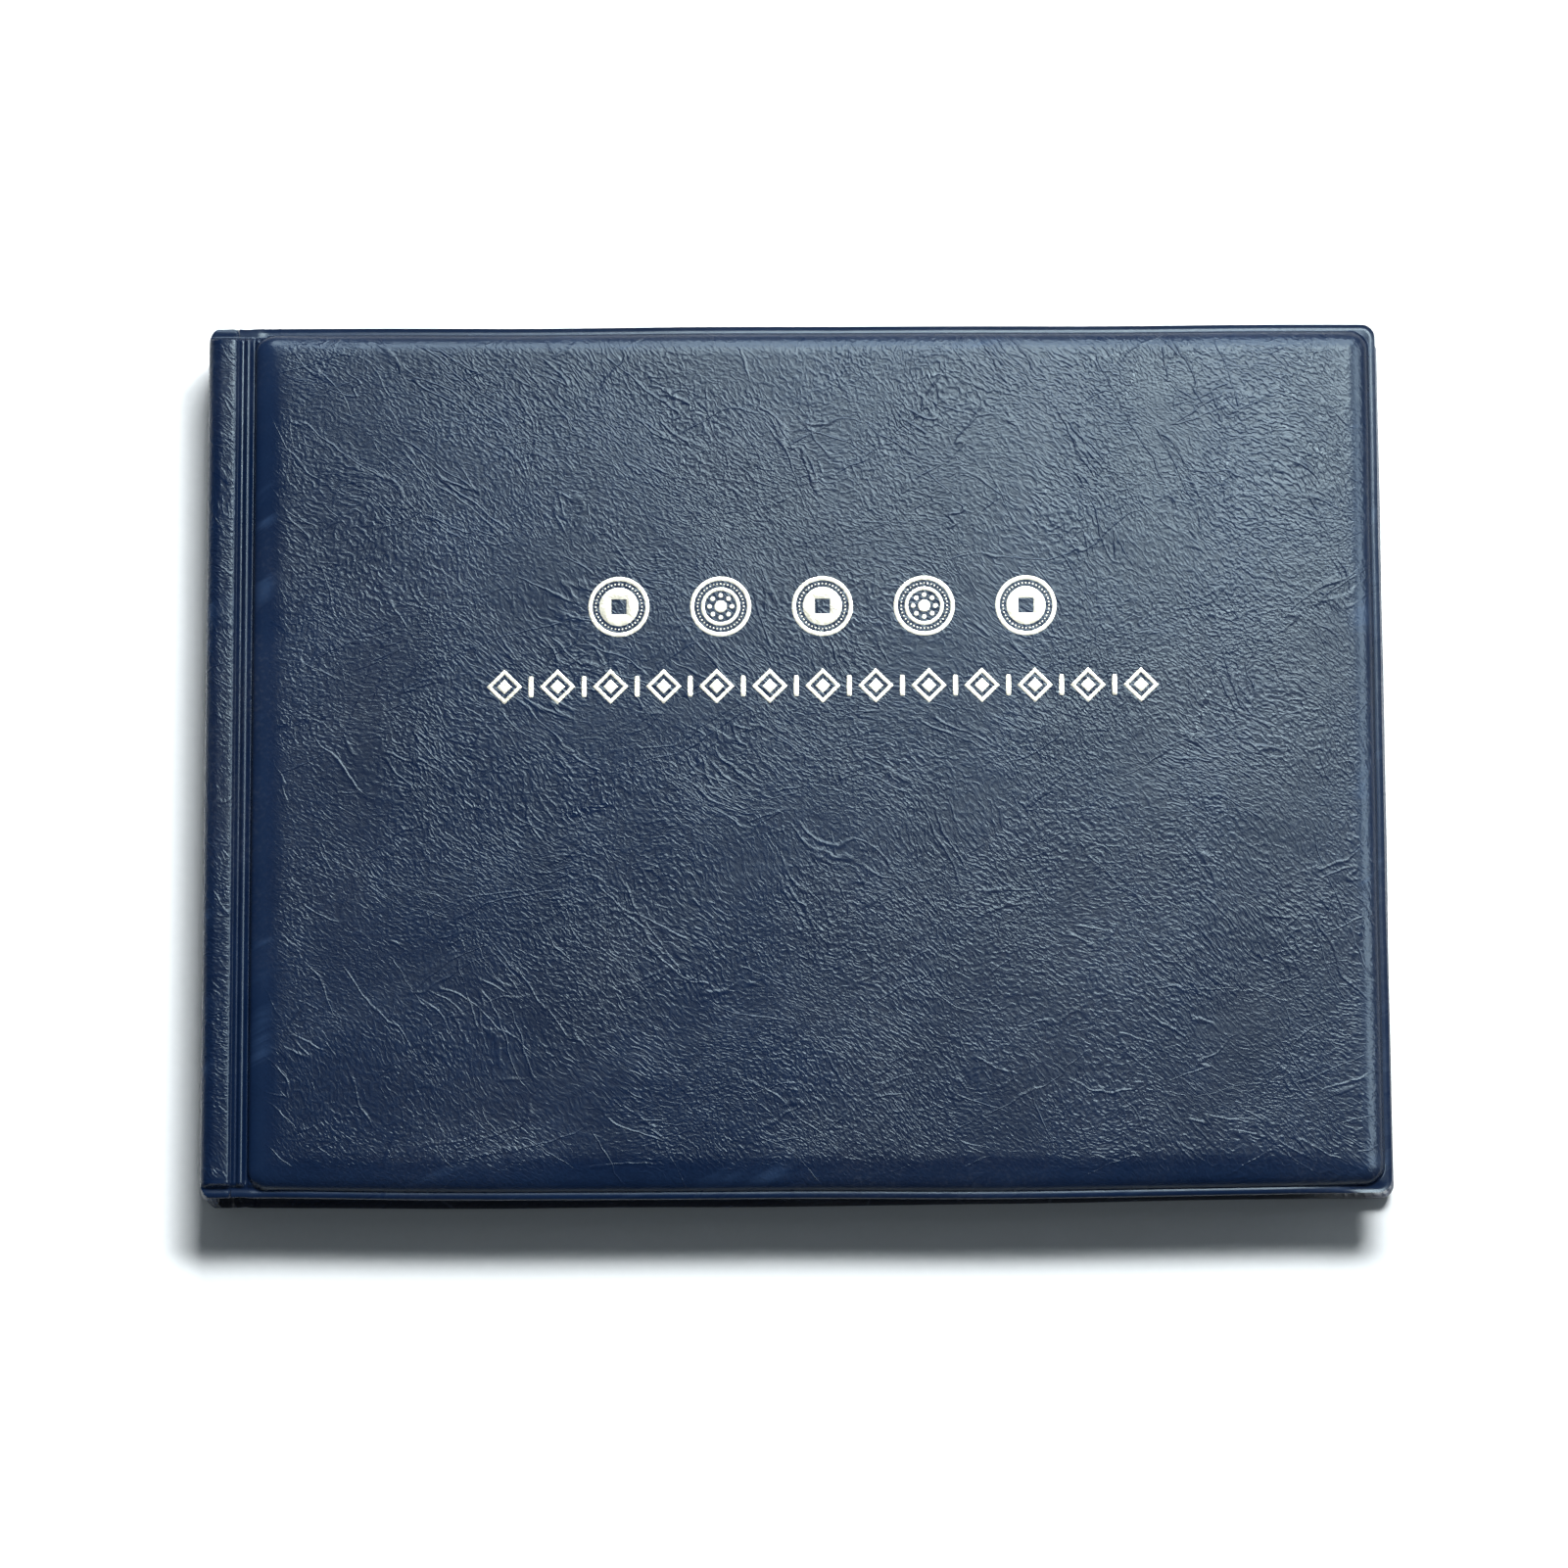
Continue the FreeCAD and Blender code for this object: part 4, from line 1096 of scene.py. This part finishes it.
def leaf_film(leaf, number):
    """A sheet of pockets: a flat backing, and front strips that lift a little between the seams."""
    low, high = node_box(f"{leaf}_backing")
    level = (low[2] + node_box(f"{leaf}_pocket_strips")[1][2]) / 2
    x, columns = seam_lines(low[0], high[0], COLUMNS, [])
    y, rows = seam_lines(low[1], high[1], ROWS, [-MOUTH - 0.03, -MOUTH + 0.03, -0.47, -0.43])
    x, y = np.meshgrid(x, y, indexing="ij")
    side = nearest(x, columns)
    end = nearest(y, rows)
    after = np.min(np.where(rows > y[..., None] - 1e-6, rows - y[..., None], 99.0), axis=-1)
    puff = smooth((side - SEAM / 2) / 1.5) * smooth((end - SEAM / 2) / 1.5)
    middle_x = (x - columns[0]) % (columns[1] - columns[0]) / (columns[1] - columns[0])
    film = -0.02 + 0.26 * puff + 0.06 * puff * np.sin(math.pi * middle_x)
    slit = (after < MOUTH) & (after > SEAM / 2) & (side > SEAM / 2)
    film = np.where(slit, -0.12, film)
    back = -0.30 + 0.07 * (1 - smooth((np.minimum(side, end) - 0.3) / 0.4))
    wave = 0.09 * slack(1.4 * x, 1.2 * y, 1.7 * number)
    edge = np.minimum.reduce([x - low[0], high[0] - x, y - low[1], high[1] - y])
    cloudy = 1 - smooth((np.minimum(side, end) - 0.35) / 0.2) + 0.7 * (1 - smooth(edge / 0.5))
    x, y = round_corners(x, y, low[0] - 20, high[0], high[1], 2.5, False)
    film_piece = slab(
        f"{leaf}_pockets", stack(x, y, level + film + wave),
        stack(x, y, level + back + wave), CLEAR, worn=np.clip(cloudy, 0, 1),
    )
    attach(film_piece, leaf)
    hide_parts(f"{leaf}_backing", f"{leaf}_pocket_strips")


def binding_tab(leaf, number):
    """Coloured strip: held between the spacers, with a slight wave in its free part before the leaf."""
    low, high = node_box(f"{leaf}_tab")
    x = lines(low[0] + 0.1, high[0] + 1.1, [0, 0.1], [0, 0.1], 0.5)
    y = lines(low[1] + 0.4, high[1] - 0.4, [0, 0.15], [0, 0.15], 6)
    x, y = np.meshgrid(x, y, indexing="ij")
    level = (low[2] + high[2]) / 2
    half = np.full(x.shape, (high[2] - low[2]) / 2 - 0.02)
    free = smooth((x - high[0] + 12) / 4) * (1 - smooth((x - high[0] + 3) / 2))
    wave = 0.05 * free * slack(4 * x, 2 * y, number)
    upper, lower = stack(x, y, level + half + wave), stack(x, y, level - half + wave)
    strip = slab(f"{leaf}_tab_strip", upper, lower, TAB)
    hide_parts(f"{leaf}_tab")
    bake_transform(strip)


for leaf_number in range(1, 11):
    leaf_film(f"leaf_{leaf_number:02d}", leaf_number)
    binding_tab(f"leaf_{leaf_number:02d}", leaf_number)


# -------------------- table, light and camera

def table_top():
    """A plain pale table with the slightest unevenness in its paint."""
    material, tree, shader = new_material("pale_table", Specular_IOR_Level=0.2)
    colour = mottled(tree, (0.93, 0.935, 0.94), (0.90, 0.905, 0.91), 3.0, 700.0)
    connect(tree, colour, shader["Base Color"])
    place = object_place(tree)
    connect(tree, spread(tree, noise(tree, place, 25.0, 3.0), 0.3, 0.7, 0.6, 0.75), shader["Roughness"])
    bump(tree, shader, noise(tree, place, 500.0, 2.0), 0.03)
    spots = np.linspace(-2500, 2500, 21)
    x, y = np.meshgrid(spots, spots, indexing="ij")
    table = slab("table_top", stack(x, y, -0.02), stack(x, y, -20.0), material)


def lamp(name, place, aim, size, power, colour, floods=True):
    """A soft box: places in metres. One that does not flood is a dim card seen only in reflections."""
    light = bpy.data.lights.new(name, "AREA")
    light.shape = "RECTANGLE"
    light.size, light.size_y = size
    light.energy = power
    light.color = colour
    holder = bpy.data.objects.new(name, light)
    holder.location = place
    holder.rotation_euler = (Vector(aim) - Vector(place)).to_track_quat("-Z", "Y").to_euler()
    holder.visible_diffuse = floods
    bpy.context.collection.objects.link(holder)


def pale_room():
    """A dim, slightly cool room all round."""
    world = bpy.data.worlds.new("pale_room")
    world.use_nodes = True
    background = world.node_tree.nodes["Background"]
    background.inputs["Color"].default_value = (0.80, 0.92, 1.0, 1.0)
    background.inputs["Strength"].default_value = 0.12
    bpy.context.scene.world = world


def camera():
    """Nearly overhead, from the near side, with a long lens."""
    tilt, roll, distance = math.radians(10.55), math.radians(-0.242), 1.1787
    aim = Vector((-0.00165, -0.00349, MIDDLE_Z * MM))
    lens = bpy.data.cameras.new("camera")
    lens.lens = 158.6
    lens.sensor_width = 36.0
    lens.clip_start, lens.clip_end = 0.01, 50.0
    holder = bpy.data.objects.new("camera", lens)
    turn = Matrix.Rotation(tilt, 4, "X") @ Matrix.Rotation(roll, 4, "Z")
    place = aim + Vector((0, -math.sin(tilt), math.cos(tilt))) * distance
    holder.matrix_world = Matrix.Translation(place) @ turn
    bpy.context.collection.objects.link(holder)
    bpy.context.scene.camera = holder


table_top()
pale_room()
ORIGIN = (0.0, 0.0, 0.0)
DAYLIGHT, SKYLIGHT = (0.93, 0.98, 1.0), (0.88, 0.96, 1.0)
lamp("far_softbox", (0.04, 0.42, 0.73), ORIGIN, (0.20, 0.28), 6.4, DAYLIGHT)
lamp("corner_softbox", (0.21, 0.31, 0.73), (0.06, 0.02, 0.0), (0.18, 0.18), 6.8, DAYLIGHT)
lamp("far_card", (0.15, 0.80, 0.62), ORIGIN, (1.0, 0.45), 26.0, SKYLIGHT, False)
lamp("right_card", (0.76, 0.12, 0.62), ORIGIN, (0.8, 0.45), 18.0, SKYLIGHT, False)
camera()
bpy.context.scene.view_settings.view_transform = "Standard"
